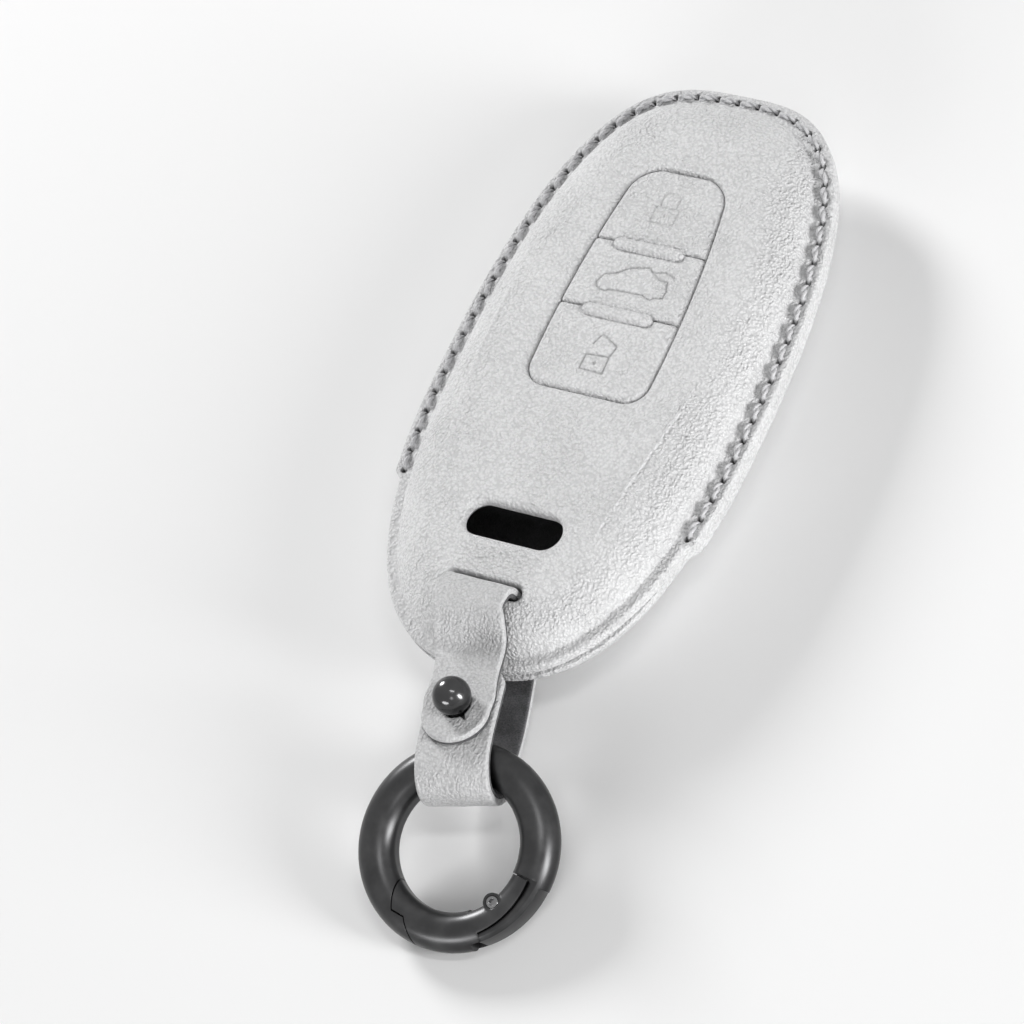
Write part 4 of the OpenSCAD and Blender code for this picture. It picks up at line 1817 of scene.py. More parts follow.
@dataclass(frozen=True)
class StrapForm:
    """Frame and lines of the strap, as in the CAD part."""

    width: float = 9.8
    skin: float = 0.85
    suede: float = 0.55
    turn: float = 16.0
    slit_y: float = -35.65
    fold: float = 2.95
    rim_u: float = 6.4
    reach: float = 12.9
    stud_reach: float = 4.8
    slope: float = 8.0
    ring_r: float = 10.9
    ring_t: float = 5.2
    tilt: float = 18.0
    ball_d: float = 5.0
    tip_reach: float = 5.2
    dome_z: float = 15.4
    flange_z: float = 10.5
    slit_w: float = 11.2
    slit_h: float = 2.0
    slit_reach: float = 3.0
    rest_gap: float = 0.05
    move_gap: float = 0.15

    @property
    def t(self) -> float:
        """Thickness of the strap."""
        return self.skin + self.suede

    @property
    def loop_u(self) -> float:
        """Run of the strap to the middle of the ring's section."""
        return self.rim_u + self.reach

    @property
    def loop_z(self) -> float:
        """Height of the middle of the ring's section in the loop."""
        return self.ring_t / 2 + 2 * self.ring_r * math.sin(math.radians(self.tilt)) + self.rest_gap

    @property
    def hug(self) -> float:
        """How far the ring bows away from the loop at the strap's edge."""
        hole = self.ring_r - self.ring_t / 2
        return hole - math.sqrt(hole**2 - self.width**2 / 4)

    @property
    def loop_top(self) -> float:
        """Rise of the loop over the ring's middle."""
        return self.ring_t / 2 + self.hug / 3 + self.t / 2

    @property
    def loop_far(self) -> float:
        """Reach of the loop past the ring's middle."""
        return self.ring_t / 2 + self.hug + self.move_gap + self.t / 2

    @property
    def stud_u(self) -> float:
        """Run of the strap to the stud."""
        return self.loop_u - self.stud_reach

    @property
    def stud_z(self) -> float:
        """Height of the front run at the stud."""
        return self.loop_z + self.loop_top - (self.stud_reach - self.t) * math.tan(math.radians(self.slope))

    @property
    def start_u(self) -> float:
        """Run at which the strap lies on itself in front of the rim."""
        return self.rim_u + 1.5 * self.move_gap + self.t

    @property
    def arch_z(self) -> float:
        """Height of the arch over the front slit."""
        return self.dome_z + 1.1 * self.t

    @property
    def back_z(self) -> float:
        """Height of the back run where it enters the case."""
        return 2.2 * self.t

    def front_z(self, u: float) -> float:
        """Height of the front run."""
        return self.stud_z + (u - self.stud_u) * math.tan(math.radians(self.slope))

    def matrix(self) -> Matrix:
        """Turns the strap's frame into the row frame: -Y runs out along the strap."""
        aside = Matrix.Rotation(math.radians(self.turn), 4, "Z")
        return Matrix.Translation((0, self.slit_y - self.fold, 0)) @ aside

    def stud_matrix(self) -> Matrix:
        """Frame of the stud, with Z along it."""
        lean = Matrix.Rotation(-math.radians(self.slope), 4, "X")
        return self.matrix() @ Matrix.Translation((0, -self.stud_u, self.stud_z)) @ lean

    def ring_matrix(self) -> Matrix:
        """Frame of the ring, with Z out of its plane and +Y to the strap.

        Returns:
            The matrix, with its shift in millimetres.
        """
        loop = Matrix.Translation((0, -self.loop_u, self.loop_z))
        tilt = Matrix.Rotation(math.radians(self.tilt), 4, "X")
        return self.matrix() @ loop @ tilt @ Matrix.Translation((0, -self.ring_r, 0))

    def back_slit_tool(self, finish: Material) -> Piece:
        """A flat bar with round ends that cuts the slit for the back run.

        Args:
            finish: Material of the cut face.

        Returns:
            The tool.
        """
        outline = capsule_loop(self.slit_w, self.slit_h, np.zeros(2), 0.3)
        tool = prism("slit_tool", outline, -self.rim_u - self.slit_reach, self.slit_reach, finish)
        upright = Matrix(((1, 0, 0, 0), (0, 0, 1, 0), (0, 1, 0, self.back_z), (0, 0, 0, 1)))
        return moved(tool, self.matrix() @ upright)


STRAP = StrapForm()


def curve_through(points: Sequence[Sequence[float]], steps: int) -> Array:
    """A smooth line through a few points, by Catmull and Rom's formula.

    Args:
        points: The points.
        steps: Number of steps between two of them.

    Returns:
        The line's points.
    """
    p = np.array(points, float)
    rows = []
    for i in range(len(p) - 1):
        a, b, c, d = p[max(i - 1, 0)], p[i], p[i + 1], p[min(i + 2, len(p) - 1)]
        for k in range(steps):
            t = k / steps
            square = (2 * a - 5 * b + 4 * c - d) * t**2
            cube = (3 * b - a - 3 * c + d) * t**3
            rows.append((2 * b + (c - a) * t + square + cube) / 2)
    return np.vstack([rows, p[-1:]])


@dataclass
class StrapRun:
    """One run of the strap, laid out flat as width and length and bent along a side line."""

    line: Array
    place: Matrix
    wave: float = 0.05
    rings: tuple[float, ...] = (0.03, 0.08, 0.16, 0.28)
    s: Array = field(init=False)
    normal: Array = field(init=False)

    def __post_init__(self) -> None:
        """Works out the line's lengths and normals."""
        length = arc_length(self.line)[-1]
        self.line = resampled(self.line, int(length / 0.2), False)
        for _ in range(6):
            self.line[1:-1] = (self.line[:-2] + 2 * self.line[1:-1] + self.line[2:]) / 4
        self.s = arc_length(self.line)
        along = np.gradient(self.line, axis=0)
        along /= np.linalg.norm(along, axis=1)[:, None]
        self.normal = np.stack([-along[:, 1], along[:, 0]], axis=1)

    def length_at(self, u: float) -> float:
        """Length along the line at which it has run out to u."""
        return float(np.interp(u, self.line[:, 0], self.s))

    def local(self, flat: Array, offset: Array) -> tuple[Array, Array]:
        """Bends flat points along the line, in the strap's own frame.

        Args:
            flat: Place across and along the strap.
            offset: Height over the middle of the strap.

        Returns:
            One place per point, and how far the line has run out there.
        """
        u, z, nu, nz = (np.interp(flat[:, 1], self.s, v) for v in (*self.line.T, *self.normal.T))
        return np.column_stack([flat[:, 0], -(u + nu * offset), z + nz * offset]), u

    def bent(self, flat: Array, offset: Array) -> Array:
        """Bends flat points along the line.

        Args:
            flat: Place across and along the strap.
            offset: Height over the middle of the strap.

        Returns:
            Places in the row frame, in millimetres.
        """
        m = np.array(self.place)
        return self.local(flat, offset)[0] @ m[:3, :3].T + m[:3, 3]

    def ripple(self, flat: Array) -> Array:
        """Soft waves of worn leather.

        Args:
            flat: Place across and along the strap.

        Returns:
            One height per point.
        """
        across, along = flat.T
        long_waves = np.sin(along * 1.9 + 0.6 * np.sin(across * 0.9))
        slanted_waves = np.sin(across * 1.3 + along * 0.7)
        return self.wave * (long_waves * 0.5 + slanted_waves * 0.5)

    def sheet(self, loops: list[Array], height: float, rounding: float, way: float) -> Sheet:
        """A sheet at a height over the middle, with its edge rounded one way.

        Args:
            loops: The flat outline, then its holes.
            height: Height over the middle of the strap.
            rounding: Radius of the rounded edge.
            way: 1 for an edge that drops, -1 for one that rises.

        Returns:
            The function that gives the sheet's places.
        """

        def places(flat: Array) -> Array:
            """Places of the sheet.

            Args:
                flat: Place across and along the strap.

            Returns:
                One place per point.
            """
            edge = np.minimum.reduce([segment_distance(flat, loop, True) for loop in loops])
            soft = self.ripple(flat) * smoothstep(0.2, 1.2, edge)
            return self.bent(flat, height + soft - way * lip(edge, rounding))

        return places

    def layers(self, loops: list[Array], names: tuple[str, str], finishes: Finishes) -> list[Piece]:
        """Builds the leather and the suede over one flat outline.

        Args:
            loops: The flat outline, then its holes.
            names: Names of the leather and of the suede.
            finishes: All finishes.

        Returns:
            Both objects.
        """
        rings = []
        for k, loop in enumerate(loops):
            inward = -1.0 if k == 0 else 1.0
            rings += [loop + outward(loop) * (inward * d) for d in self.rings]
        grid = hex_grid(loops[0].min(axis=0), loops[0].max(axis=0), 0.32)
        grid = grid[within(grid, loops[0])]
        for loop in loops[1:]:
            grid = grid[~within(grid, loop)]
        grid = far_from(grid, np.vstack([*loops, *rings]), 0.2)
        points = np.vstack([*rings, grid])
        half = STRAP.t / 2
        seam = half - STRAP.skin
        made = []
        for name, top, bottom, finish in (
            (names[0], (half, 0.28, 1.0), (seam, 0.05, -1.0), finishes.strap),
            (names[1], (seam, 0.05, 1.0), (-half, 0.2, -1.0), finishes.suede),
        ):
            slab = Slab(loops, points, points, self.sheet(loops, *top), self.sheet(loops, *bottom), 2)
            made.append(slab.build(name, finish, 60))
        return made


@dataclass
class TongueRun(StrapRun):
    """The tongue's run, which leaves the slit straight and turns to the side past the fold."""

    turn_from: float = -1.2
    turn_to: float = 2.6

    def bent(self, flat: Array, offset: Array) -> Array:
        """Bends flat points along the line and turns them to the side past the fold.

        Args:
            flat: Place across and along the strap.
            offset: Height over the middle of the strap.

        Returns:
            Places in the row frame, in millimetres.
        """
        local, u = self.local(flat, offset)
        share = smoothstep(self.turn_from, self.turn_to, u)
        straight = Matrix.Translation((0, STRAP.slit_y - STRAP.fold, 0))
        both = []
        for matrix, weight in ((straight, 1 - share), (self.place, share)):
            m = np.array(matrix)
            both.append((local @ m[:3, :3].T + m[:3, 3]) * weight[:, None])
        return both[0] + both[1]


def strip_loop(left: Array, right: Array, s: Array, spacing: float) -> Array:
    """Closed flat outline between a left and a right edge along a length, anticlockwise.

    Args:
        left: Place of the left edge at each length.
        right: Place of the right edge at each length.
        s: The lengths.
        spacing: Distance between two points.

    Returns:
        The outline's points.
    """
    return spaced(np.vstack([np.column_stack([right, s]), np.column_stack([left, s])[::-1]]), spacing)


@dataclass
class Strap:
    """The tongue with its root, the loop with the stud, and the run inside the case."""

    finishes: Finishes
    waist: float = 8.7
    hole_r: float = 1.95
    hole_stretch: float = 1.12
    notch_turn: float = 52.0
    notch_half: float = 6.0
    notch_depth: float = 0.9
    loop_end_r: float = 2.2

    def tongue_line(self) -> Array:
        """Side line of the tongue: up out of the slit, over the rim and down past the stud.

        Returns:
            The line's points, as run and height.
        """
        f = STRAP
        lift = (f.t + 2 * f.rest_gap) / math.cos(math.radians(f.slope))
        head = [
            (-f.fold, 9.6),
            (-f.fold, f.flange_z + f.t / 2),
            (-f.fold, f.dome_z - f.t / 2),
            (-f.fold + f.t / 2 + 0.1, f.arch_z - f.t / 4),
            (0, f.arch_z),
            (f.rim_u / 3, f.arch_z - f.t / 3),
            (0.75 * f.rim_u, f.front_z(f.rim_u) + lift + f.t / 2),
        ]
        tip = f.stud_u + f.tip_reach + f.t
        tail = [(u, f.front_z(u) + lift) for u in (f.start_u, f.stud_u - f.ball_d / 2, f.stud_u, tip)]
        return curve_through(head + tail, 12)

    def tongue_outline(self, run: StrapRun, s_stud: float) -> Array:
        """Flat outline of the tongue, with a waist past the rim and a round tip.

        Args:
            run: The tongue's run.
            s_stud: Length along it at the stud.

        Returns:
            The outline's points.
        """
        f = STRAP
        waist_s = run.length_at(f.rim_u + 2 * f.t)
        tip_r = self.waist / 2 + f.move_gap
        s_tip = s_stud + f.tip_reach
        s_round = s_tip - tip_r
        quarter = np.sin(np.linspace(0, math.pi / 2, 40))[1:]
        s = np.concatenate([np.linspace(0.0, s_round, 160), s_round + tip_r * quarter])
        narrowing = np.exp(-(((s - waist_s) / (2.5 * f.t)) ** 2))
        half = f.width / 2 - (f.width - self.waist) / 2 * narrowing
        tip_half = np.sqrt(np.clip(tip_r**2 - np.clip(s - s_round, 0, tip_r) ** 2, 1e-4, None))
        half = np.where(s > s_round, np.minimum(tip_half, half), np.minimum(half, f.width / 2))
        share = smoothstep(s_round - 3.0, s_round, s)
        half = np.where(s <= s_round, half * (1 - share) + np.minimum(half, tip_r) * share, half)
        return strip_loop(-half, half, s, 0.3)

    def buttonhole(self, s_stud: float) -> Array:
        """Outline of the buttonhole round the stud, with a small notch.

        Args:
            s_stud: Length along the tongue at the stud.

        Returns:
            The outline's points.
        """
        turn = np.linspace(0, 2 * math.pi, 40, endpoint=False)
        along = s_stud - 0.35 + self.hole_r * self.hole_stretch * np.sin(turn)
        hole = np.stack([self.hole_r * np.cos(turn), along], axis=1)
        for k, a in enumerate(turn):
            if abs(a - math.radians(self.notch_turn)) < math.radians(self.notch_half):
                hole[k] += np.array([math.cos(a), math.sin(a)]) * self.notch_depth
        return hole

    def tongue(self) -> None:
        """Builds the root and the tongue in one piece, bent along the tongue's line."""
        f = STRAP
        run = TongueRun(self.tongue_line(), f.matrix())
        s_stud = run.length_at(f.stud_u)
        loops = [self.tongue_outline(run, s_stud), self.buttonhole(s_stud)]
        for obj, node, slot in zip(
            run.layers(loops, ("tongue_leather", "tongue_suede"), self.finishes),
            (("strap_root", "strap_tongue"), ("strap_root_suede", "strap_tongue_suede")),
            ("strap_leather", "strap_suede"),
        ):
            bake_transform(obj)
            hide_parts(*node)
            LOG.info("%s: %d faces", obj.name, len(obj.data.polygons))

    def loop_line(self) -> Array:
        """Side line of the loop: along under the tongue, round the ring and back to the case.

        Returns:
            The line's points, as run and height.
        """
        f = STRAP
        r = f.ball_d / 2
        front = [(u, f.front_z(u)) for u in (f.start_u, f.stud_u - r, f.stud_u, f.stud_u + r)]
        wrap = []
        for a in np.linspace(0, math.pi, 24):
            rise = f.loop_top if a < math.pi / 2 else f.loop_far
            wrap.append((f.loop_u + f.loop_far * math.sin(a), f.loop_z + rise * math.cos(a)))
        back = [
            (f.loop_u - 1.6 * f.t, f.loop_z - f.loop_far - f.t / 5),
            (f.rim_u + 4 * f.t, f.back_z),
            (f.rim_u, f.back_z - f.t / 8),
            (f.fold / 2, f.back_z),
        ]
        return np.vstack([curve_through(front, 12), wrap, curve_through(back, 12)])

    def loop(self) -> None:
        """Builds the loop round the ring."""
        run = StrapRun(self.loop_line(), STRAP.matrix())
        s = np.linspace(0, run.s[-1], 200)
        end_r = self.loop_end_r
        corner = end_r - np.sqrt(np.clip(end_r**2 - (end_r - s) ** 2, 0, None))
        half = np.full(len(s), STRAP.width / 2) - np.where(s < end_r, corner, 0)
        for obj, node, slot in zip(
            run.layers([strip_loop(-half, half, s, 0.3)], ("loop_leather", "loop_suede"), self.finishes),
            ("strap_loop", "strap_loop_suede"),
            ("strap_leather", "strap_suede"),
        ):
            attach(obj, "mouth")
            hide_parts(node)
            LOG.info("%s: %d faces", obj.name, len(obj.data.polygons))

    def inner_line(self) -> Array:
        """Side line of the run between both slits inside the case.

        Returns:
            The line's points, as run and height.
        """
        f = STRAP
        points = [
            (f.fold + f.fold / 2 - f.rest_gap, f.back_z),
            (f.fold, f.back_z + f.t / 6),
            (0.9 * f.t, f.back_z + 1.2 * f.t),
            (f.t / 8, f.back_z + 2.6 * f.t),
            (0, CASE.seam_z - f.t / 2),
            (0, f.flange_z + f.t / 2 - f.rest_gap),
        ]
        return curve_through(points, 12)

    def inner_run(self) -> None:
        """Builds the run between both slits inside the case."""
        f = STRAP
        run = StrapRun(self.inner_line(), Matrix.Translation((0, f.slit_y, 0)), 0.0)
        s = np.linspace(0, run.s[-1], 60)
        half = np.full(len(s), f.width / 2)
        outline = strip_loop(-half, half, s, 0.5)
        points = hex_grid(outline.min(axis=0), outline.max(axis=0), 0.6)
        points = points[within(points, outline)]
        points = points[segment_distance(points, outline, True) > 0.3]
        slab = Slab(
            [outline], points, points,
            lambda flat: run.bent(flat, np.full(len(flat), f.t / 2)),
            lambda flat: run.bent(flat, np.full(len(flat), -f.t / 2)),
        )
        obj = slab.build("inner_strap", self.finishes.strap, 60)
        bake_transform(obj)
        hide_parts("strap_inner")
        LOG.info("inner_strap built")

    def build(self) -> None:
        """Builds every part of the strap."""
        self.tongue()
        self.loop()
        self.inner_run()


# Metal pieces


@dataclass
class Stud:
    """The ball stud and the screw behind it."""

    finishes: Finishes
    neck_r: float = 1.2

    def build(self) -> None:
        """Builds both turned pieces."""
        f = STRAP
        stack = f.t + 2 * f.rest_gap
        lift = stack + f.ball_d / 2
        r = f.ball_d / 2
        floor = f.t / 2 + f.rest_gap
        low_angle = -math.acos(min(1.0, (self.neck_r + 0.12) / r))
        ball = [(r * math.cos(a), lift + r * math.sin(a)) for a in np.linspace(low_angle, math.pi / 2, 40)]
        profile = [
            (0, floor), (self.neck_r + 0.3, floor), (self.neck_r + 0.32, floor + 0.12),
            (self.neck_r, floor + 0.3), (self.neck_r, lift + r * math.sin(low_angle) - 0.1),
            *ball[:-1], (0, lift + r),
        ]
        obj = moved(lathe("stud", np.array(profile), self.finishes.polish, 96), f.stud_matrix())
        dress(obj, self.finishes.polish, 45)
        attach(obj, "mouth")
        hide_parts("stud_ball")
        head = -f.t / 2 - 0.6 - f.rest_gap
        profile = [
            (0, head + 0.12), (0.9, head), (2.4, head), (2.58, head + 0.15), (2.6, head + 0.45),
            (2.5, head + 0.58), (0.78, head + 0.6), (0.78, head + 3.3), (0.6, head + 3.4), (0, head + 3.4),
        ]
        screw = moved(lathe("screw", np.array(profile), self.finishes.gunmetal, 48), f.stud_matrix())
        outline = capsule_loop(3.4, 0.6, np.zeros(2), 0.2)
        tool = prism("slot_tool", outline, head - 1, head + 0.25, self.finishes.gunmetal)
        combine(screw, [moved(tool, f.stud_matrix())], Cut.AWAY)
        dress(screw, self.finishes.gunmetal, 35)
        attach(screw, "mouth")
        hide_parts("stud_screw")
        LOG.info("stud and screw built")


@dataclass
class SnapRing:
    """The snap ring, its sprung gate and the gate's rivet."""

    finishes: Finishes
    r: float = 10.9
    t: float = 5.2
    gap: float = 0.15
    rest_gap: float = 0.05
    nose_start: float = -90.0
    root_out: float = 20.0
    ear_end: float = 66.0
    leaf_t: float = 2.3
    leaf_lap: float = 2.0
    spring_t: float = 0.35
    pin_r: float = 0.8
    pin_turn: float = 37.6
    lip_turn: float = -30.0
    nose_turn: float = 30.0
    step_turn: float = -4.5
    step_end: float = -9.3
    lip_reach: float = 11.95
    boss_r: float = 1.2
    slot_turn: float = 6.7
    outer_r: float = 12.95
    ring_points: int = 200
    section_points: int = 48

    def polar(self, r: float, a: float) -> Array:
        """A place in the ring's plane. Angles run from the far end to the right."""
        return np.array([r * math.sin(math.radians(a)), -r * math.cos(math.radians(a))])

    def arc(self, r: float, start: float, end: float, drop: float = 0.0) -> list[Array]:
        """Places along an arc.

        Args:
            r: Radius.
            start: First angle in degrees.
            end: Last angle.
            drop: How much the radius falls along it.

        Returns:
            The places, one after the other.
        """
        steps = max(3, int(abs(end - start) / 2.5))
        return [self.polar(r - drop * k / steps, start + (end - start) * k / steps) for k in range(steps + 1)]

    @property
    def past(self) -> float:
        """A radius past the ring's outside."""
        return self.r + self.t

    @property
    def core(self) -> float:
        """A radius inside the ring's opening."""
        return self.r - self.t

    @property
    def ear(self) -> float:
        """Radius of the ear's outside where it begins."""
        return self.r + 2 * self.t / 9

    @property
    def ear_drop(self) -> float:
        """How much the ear's radius falls towards its end."""
        return self.t / 9

    @property
    def pin(self) -> Array:
        """Place of the gate's pin."""
        return self.polar(self.r - 3 * self.t / 10, self.pin_turn)

    def nose(self, gap: float) -> list[Array]:
        """The gate's nose: an arc about the pin, then a step back to a shorter arc behind the ring's lip.

        Args:
            gap: How far it is drawn in.

        Returns:
            The places along it.
        """
        rise = math.degrees(gap / self.lip_reach)
        long_reach = self.r + self.t / 2 - gap
        short_reach = self.lip_reach - gap
        turns = [(long_reach, a) for a in np.linspace(self.nose_turn, self.step_turn + rise, 14)]
        turns += [(short_reach, a) for a in np.linspace(self.step_end + rise, self.lip_turn, 9)]
        places = []
        for r, a in turns:
            places.append(self.pin + r * np.array([-math.cos(math.radians(a)), math.sin(math.radians(a))]))
        return places

    def field(self, gap: float) -> Array:
        """Outline of the gate's field in the ring's plane, drawn in by a gap.

        Args:
            gap: The gap.

        Returns:
            The outline's points.
        """
        turn = math.degrees(gap / self.r)
        return np.array([
            *self.nose(gap),
            *self.arc(self.past, self.nose_start / 3, self.root_out - turn),
            *self.arc(self.ear - gap, self.root_out - turn, self.ear_end - turn, self.ear_drop),
            *reversed(self.arc(self.core, self.nose_start / 2, self.ear_end - turn)),
        ])

    def opening(self) -> Array:
        """Outline of the part that is cut right through the ring.

        Returns:
            The outline's points.
        """
        start = self.root_out - self.leaf_lap
        return np.array([
            *self.nose(0.0),
            *self.arc(self.past, self.nose_start / 3, start),
            *reversed(self.arc(self.core, self.nose_start / 2, start)),
        ])

    def between(self, one: list[Array], other: list[Array]) -> Array:
        """Outline between two arcs that run the same way."""
        return np.array([*one, *reversed(other)])

    def body(self, name: str) -> Piece:
        """The round ring with its narrow flat inner band.

        Args:
            name: Name of the object.

        Returns:
            The object.
        """
        around = self.ring_points
        section = self.section_points
        a = np.linspace(0, 2 * math.pi, around, endpoint=False)
        b = np.linspace(0, 2 * math.pi, section, endpoint=False)
        band = math.sqrt(self.t**2 - (self.t / 3) ** 2) / 2
        out = self.r + np.maximum(self.t / 2 * np.cos(b), -band)
        up = self.t / 2 * np.sin(b)
        x = out[None] * np.cos(a)[:, None]
        y = out[None] * np.sin(a)[:, None]
        vertices = np.stack([x, y, np.tile(up, (around, 1))], axis=2)
        faces = []
        for i in range(around):
            this = i * section
            after = ((i + 1) % around) * section
            for j in range(section):
                k = (j + 1) % section
                faces.append((this + j, after + j, after + k, this + k))
        return new_object(name, vertices.reshape(-1, 3), faces, self.finishes.gunmetal)

    def disc(self, r: float, low: float, high: float) -> Piece:
        """A round bar about the pin, used as a tool.

        Args:
            r: Its radius.
            low: Height of its lower end.
            high: Height of its upper end.

        Returns:
            The tool.
        """
        turn = np.linspace(0, 2 * math.pi, 64, endpoint=False)
        outline = self.pin + np.stack([r * np.cos(turn), r * np.sin(turn)], axis=1)
        return prism("disc_tool", outline, low, high, self.finishes.gunmetal)

    def tool(self, outline: Array, low: float, high: float) -> Piece:
        """A straight cutting tool over an outline in the ring's plane."""
        return prism("ring_tool", outline, low, high, self.finishes.gunmetal)

    def softened(self, obj: Piece, width: float) -> Piece:
        """Breaks the cut edges.

        Args:
            obj: The piece.
            width: Width of the broken edge.

        Returns:
            The same object.
        """
        weld = obj.modifiers.new("weld", "WELD")
        weld.merge_threshold = 0.01 * MM
        bevel = obj.modifiers.new("bevel", "BEVEL")
        bevel.width = width * MM
        bevel.segments = 2
        bevel.limit_method = "ANGLE"
        bevel.angle_limit = math.radians(38)
        applied(obj)
        dress(obj, self.finishes.gunmetal, 32)
        return obj

    def cut_ring(self) -> Piece:
        """Builds the ring with its boss, its leaf and the gate's opening.

        Returns:
            The ring, in its own frame.
        """
        tall = 2 * self.t
        outer_t = 4 * self.t / 5
        leaf_end = self.ear_end + self.leaf_lap / 2
        start = self.root_out - 2 * self.leaf_lap
        inside = self.arc(self.core, start, leaf_end)
        recess = self.between(
            self.arc(self.r - self.t / 3, start, self.ear_end), self.arc(self.core, start, self.ear_end)
        )
        ring = combine(self.body("ring_metal"), [self.tool(recess, -tall, tall)], Cut.AWAY)
        combine(ring, [self.disc(self.boss_r - self.rest_gap, -self.t / 2, self.t / 2)], Cut.JOIN)
        inner = self.between(self.arc(self.ear, start, leaf_end, self.ear_drop), inside)
        outer = self.between(self.arc(self.past, start, leaf_end), inside)
        flat = self.between(
            self.arc(self.outer_r, start, self.ear_end - self.leaf_lap),
            self.arc(self.past, start, self.ear_end),
        )
        tools = [self.tool(self.opening(), -tall, tall)]
        for outline, thickness in ((inner, self.leaf_t), (outer, outer_t)):
            tools += [self.tool(outline, thickness / 2, tall), self.tool(outline, -tall, -thickness / 2)]
        tools += [self.tool(flat, -tall, tall), self.disc(self.pin_r, -tall, tall)]
        return combine(ring, tools, Cut.AWAY)

    def cut_gate(self, boss_h: float) -> Piece:
        """Builds the gate with its boss and the slot for the ring's leaf.

        Args:
            boss_h: Height of its boss.

        Returns:
            The gate, in the ring's frame.
        """
        tall = 2 * self.t
        slot_t = self.leaf_t + 2 * (self.spring_t + 2 * self.rest_gap)
        leaf_start = self.root_out - self.leaf_lap
        leaf_end = self.ear_end + self.leaf_lap / 2
        gate = combine(self.body("gate_metal"), [self.disc(self.boss_r, -boss_h / 2, boss_h / 2)], Cut.JOIN)
        combine(gate, [self.tool(self.field(self.gap), -tall, tall)], Cut.KEEP)
        slot = self.between(
            self.arc(self.past, leaf_start - self.slot_turn, leaf_end),
            self.arc(self.core, leaf_start + self.slot_turn / 4, leaf_end),
        )
        hole = self.disc(self.pin_r + self.rest_gap, -tall, tall)
        return combine(gate, [self.tool(slot, -slot_t / 2, slot_t / 2), hole], Cut.AWAY)

    def rivet(self, boss_h: float) -> Piece:
        """Builds the gate's rivet with a dimple in each end.

        Args:
            boss_h: Height of the gate's boss.

        Returns:
            The rivet, with Z along it.
        """
        high = boss_h / 2 + 0.04
        half = [
            (0.79, high - 0.06), (0.74, high), (0.5, high),
            (0.44, high - 0.03), (0.42, high - 0.5), (0, high - 0.5),
        ]
        profile = [(r, -z) for r, z in reversed(half)] + half
        made = lathe("gate_rivet", np.array(profile), self.finishes.steel, 48)
        dress(made, self.finishes.steel, 35)
        return made

    def spring(self) -> Piece:
        """Builds both turns of the spring, one on each side of the leaf.

        Returns:
            The spring, with Z along the pin.
        """
        half = self.spring_t / 2
        low_r = self.pin_r + self.rest_gap
        high_r = low_r + 0.4
        sections = []
        for side in (-1, 1):
            base = side * (self.leaf_t / 2 + half + self.rest_gap)
            low, high = base - half, base + half
            sections.append([(low_r, low), (high_r, low), (high_r, high), (low_r, high)])
        return self.coil(sections)

    def build(self) -> None:
        """Builds the ring, the gate, the rivet and the spring."""
        boss_h = self.t - 3 * self.pin_r / 4 + 0.2
        frame_of_ring = STRAP.ring_matrix()
        frame_of_pin = frame_of_ring @ Matrix.Translation((*self.pin, 0))
        for obj, body, node in (
            (self.cut_ring(), "ring", "snap_ring"),
            (self.cut_gate(boss_h), "gate", "ring_gate"),
        ):
            self.softened(obj, 0.1)
            moved(obj, frame_of_ring)
            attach(obj, body)
            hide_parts(node)
            LOG.info("%s: %d faces", obj.name, len(obj.data.polygons))
        for obj, node in ((self.rivet(boss_h), "gate_pin"), (self.spring(), "gate_spring")):
            moved(obj, frame_of_pin)
            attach(obj, "ring")
            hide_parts(node)
        LOG.info("rivet and spring built")

    def coil(self, sections: list) -> Piece:
        """Rings of square wire about the pin.

        Args:
            sections: Corners of each ring's section, as radius and height.

        Returns:
            The object.
        """
        turns = 40
        vertices = []
        faces = []
        for section in sections:
            base = len(vertices)
            n = len(section)
            for k in range(turns):
                a = 2 * math.pi * k / turns
                vertices += [(r * math.cos(a), r * math.sin(a), z) for r, z in section]
            for k in range(turns):
                for i in range(n):
                    j = (i + 1) % n
                    this = base + k * n
                    after = base + (k + 1) % turns * n
                    faces.append((this + i, after + i, after + j, this + j))
        return new_object("gate_coil", np.array(vertices), faces, self.finishes.steel)


# The studio


@dataclass(frozen=True)
class Lamp:
    """A soft oval lamp that looks at a point."""

    name: str
    place: tuple[float, float, float]
    aim: tuple[float, float, float]
    size: tuple[float, float]
    power: float

    def build(self) -> None:
        """Adds the lamp to the scene."""
        data = bpy.data.lights.new(self.name, "AREA")
        data.shape = "ELLIPSE"
        data.size, data.size_y = self.size
        data.energy = self.power
        obj = bpy.data.objects.new(self.name, data)
        obj.location = self.place
        aim = Vector(self.aim) - Vector(self.place)
        obj.rotation_euler = aim.to_track_quat("-Z", "Y").to_euler()
        bpy.context.scene.collection.objects.link(obj)


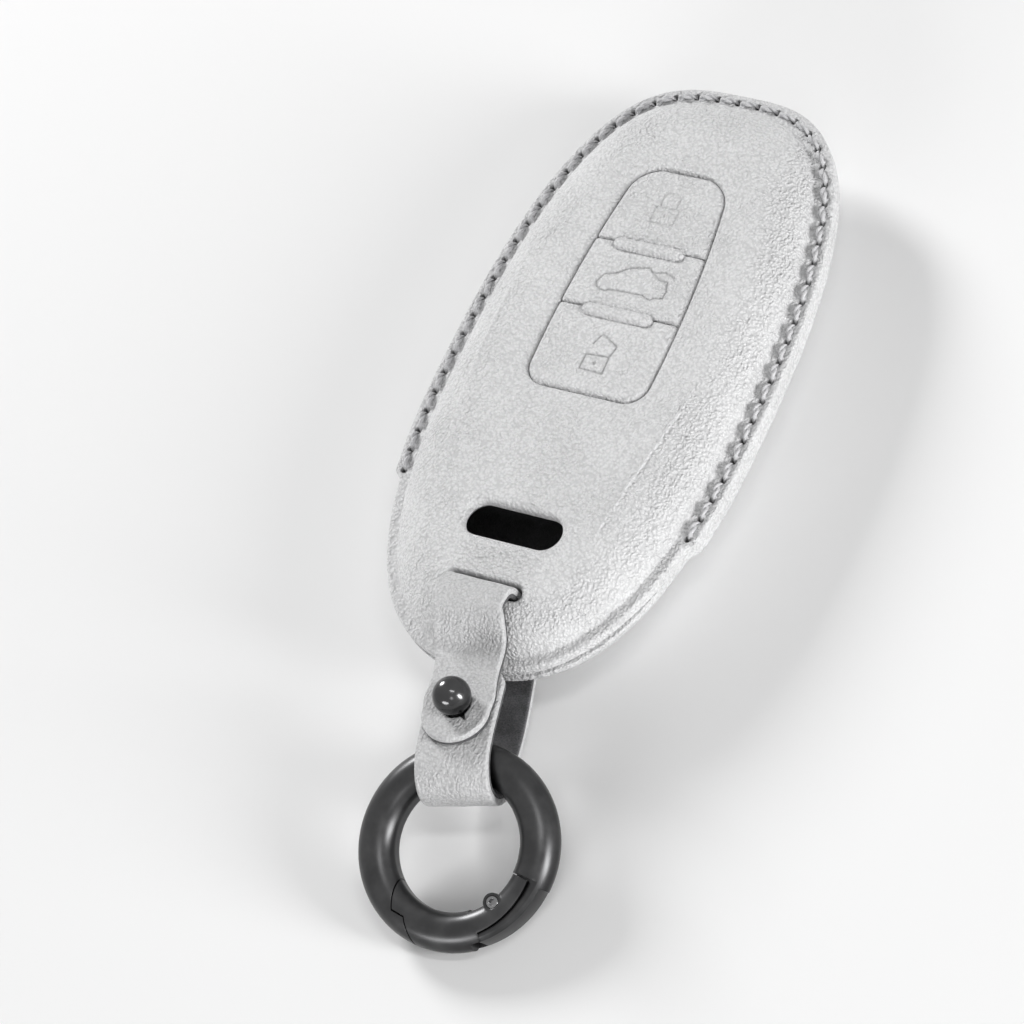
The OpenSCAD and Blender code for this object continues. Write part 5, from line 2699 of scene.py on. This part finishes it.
@dataclass
class Studio:
    """Pale floor, white surround, soft lamps and the camera."""

    floor_tone: float = 0.87
    surround: float = 0.88
    ambient: float = 0.18
    lens: float = 173.6
    camera_place: tuple[float, float, float] = (0.298711, -0.255643, 0.521836)
    camera_right: tuple[float, float, float] = (0.85497, 0.40871, -0.31934)
    camera_down: tuple[float, float, float] = (0.21091, -0.83643, -0.50586)
    camera_ahead: tuple[float, float, float] = (-0.47386, 0.36514, -0.80133)
    lamps: tuple[Lamp, ...] = (
        Lamp("left_lamp", (-0.68, 0.36, 0.38), (0.0, -0.01, 0.0), (0.26, 0.26), 6.2),
        Lamp("high_lamp", (0.32, 0.02, 0.84), (0.0, -0.04, 0.0), (0.1, 0.4), 1.3),
        Lamp("right_lamp", (0.74, -0.03, 0.21), (0.0, -0.01, 0.01), (0.2, 0.42), 5.0),
        Lamp("front_lamp", (-0.05, -0.8, 0.24), (0.0, -0.03, 0.01), (0.5, 0.2), 2.6),
        Lamp("near_lamp", (0.42, -0.5, 0.55), (0.0, -0.04, 0.01), (0.2, 0.2), 0.4),
    )

    def floor(self) -> None:
        """Builds the pale floor."""
        mesh = bpy.data.meshes.new("floor")
        mesh.from_pydata([(-2, -2, 0), (2, -2, 0), (2, 2, 0), (-2, 2, 0)], [], [(0, 1, 2, 3)])
        obj = bpy.data.objects.new("floor", mesh)
        bpy.context.scene.collection.objects.link(obj)
        g = Graph("floor_paper")
        g.shader.inputs["Base Color"].default_value = (self.floor_tone,) * 3 + (1.0,)
        g.shader.inputs["Roughness"].default_value = 0.8
        g.shader.inputs["Specular IOR Level"].default_value = 0.1
        mesh.materials.append(g.material)

    def world(self) -> None:
        """A white surround for the camera and for mirrors, and a dimmer one as light."""
        world = bpy.data.worlds.new("surround")
        bpy.context.scene.world = world
        world.use_nodes = True
        nodes = world.node_tree.nodes
        links = world.node_tree.links
        nodes.clear()
        out = nodes.new("ShaderNodeOutputWorld")
        mix = nodes.new("ShaderNodeMixShader")
        path = nodes.new("ShaderNodeLightPath")
        light = nodes.new("ShaderNodeBackground")
        seen = nodes.new("ShaderNodeBackground")
        light.inputs["Color"].default_value = (1.0, 1.0, 1.0, 1.0)
        light.inputs["Strength"].default_value = self.ambient
        seen.inputs["Color"].default_value = (self.surround,) * 3 + (1.0,)
        first = nodes.new("ShaderNodeMath")
        second = nodes.new("ShaderNodeMath")
        first.operation = "MAXIMUM"
        second.operation = "MAXIMUM"
        links.new(path.outputs["Is Camera Ray"], first.inputs[0])
        links.new(path.outputs["Is Glossy Ray"], first.inputs[1])
        links.new(first.outputs[0], second.inputs[0])
        links.new(path.outputs["Is Transmission Ray"], second.inputs[1])
        links.new(second.outputs[0], mix.inputs[0])
        links.new(light.outputs[0], mix.inputs[1])
        links.new(seen.outputs[0], mix.inputs[2])
        links.new(mix.outputs[0], out.inputs["Surface"])

    def camera(self) -> None:
        """Sets the camera as the photograph was taken."""
        data = bpy.data.cameras.new("camera")
        data.lens = self.lens
        data.sensor_width = 36.0
        data.clip_start = 0.01
        data.clip_end = 20.0
        obj = bpy.data.objects.new("camera", data)
        up = [-v for v in self.camera_down]
        back = [-v for v in self.camera_ahead]
        turn = Matrix((self.camera_right, up, back)).transposed().to_4x4()
        obj.matrix_world = Matrix.Translation(self.camera_place) @ turn
        bpy.context.scene.collection.objects.link(obj)
        bpy.context.scene.camera = obj

    def build(self) -> None:
        """Builds the studio."""
        self.floor()
        self.world()
        self.camera()
        for lamp in self.lamps:
            lamp.build()
        bpy.context.scene.view_settings.view_transform = "Standard"
        LOG.info("studio built")


def main() -> None:
    """Builds every piece in order."""
    logging.basicConfig(level=logging.INFO, format="%(name)s %(message)s")
    finishes = Finishes()
    shell = FrontShell(finishes)
    shell.build()
    BackShell(finishes).build()
    Linings(finishes).build(shell)
    Stitching(finishes).build()
    ButtonPanel(finishes).build()
    Strap(finishes).build()
    Stud(finishes).build()
    SnapRing(finishes).build()
    Studio().build()


if __name__ == "__main__":
    main()
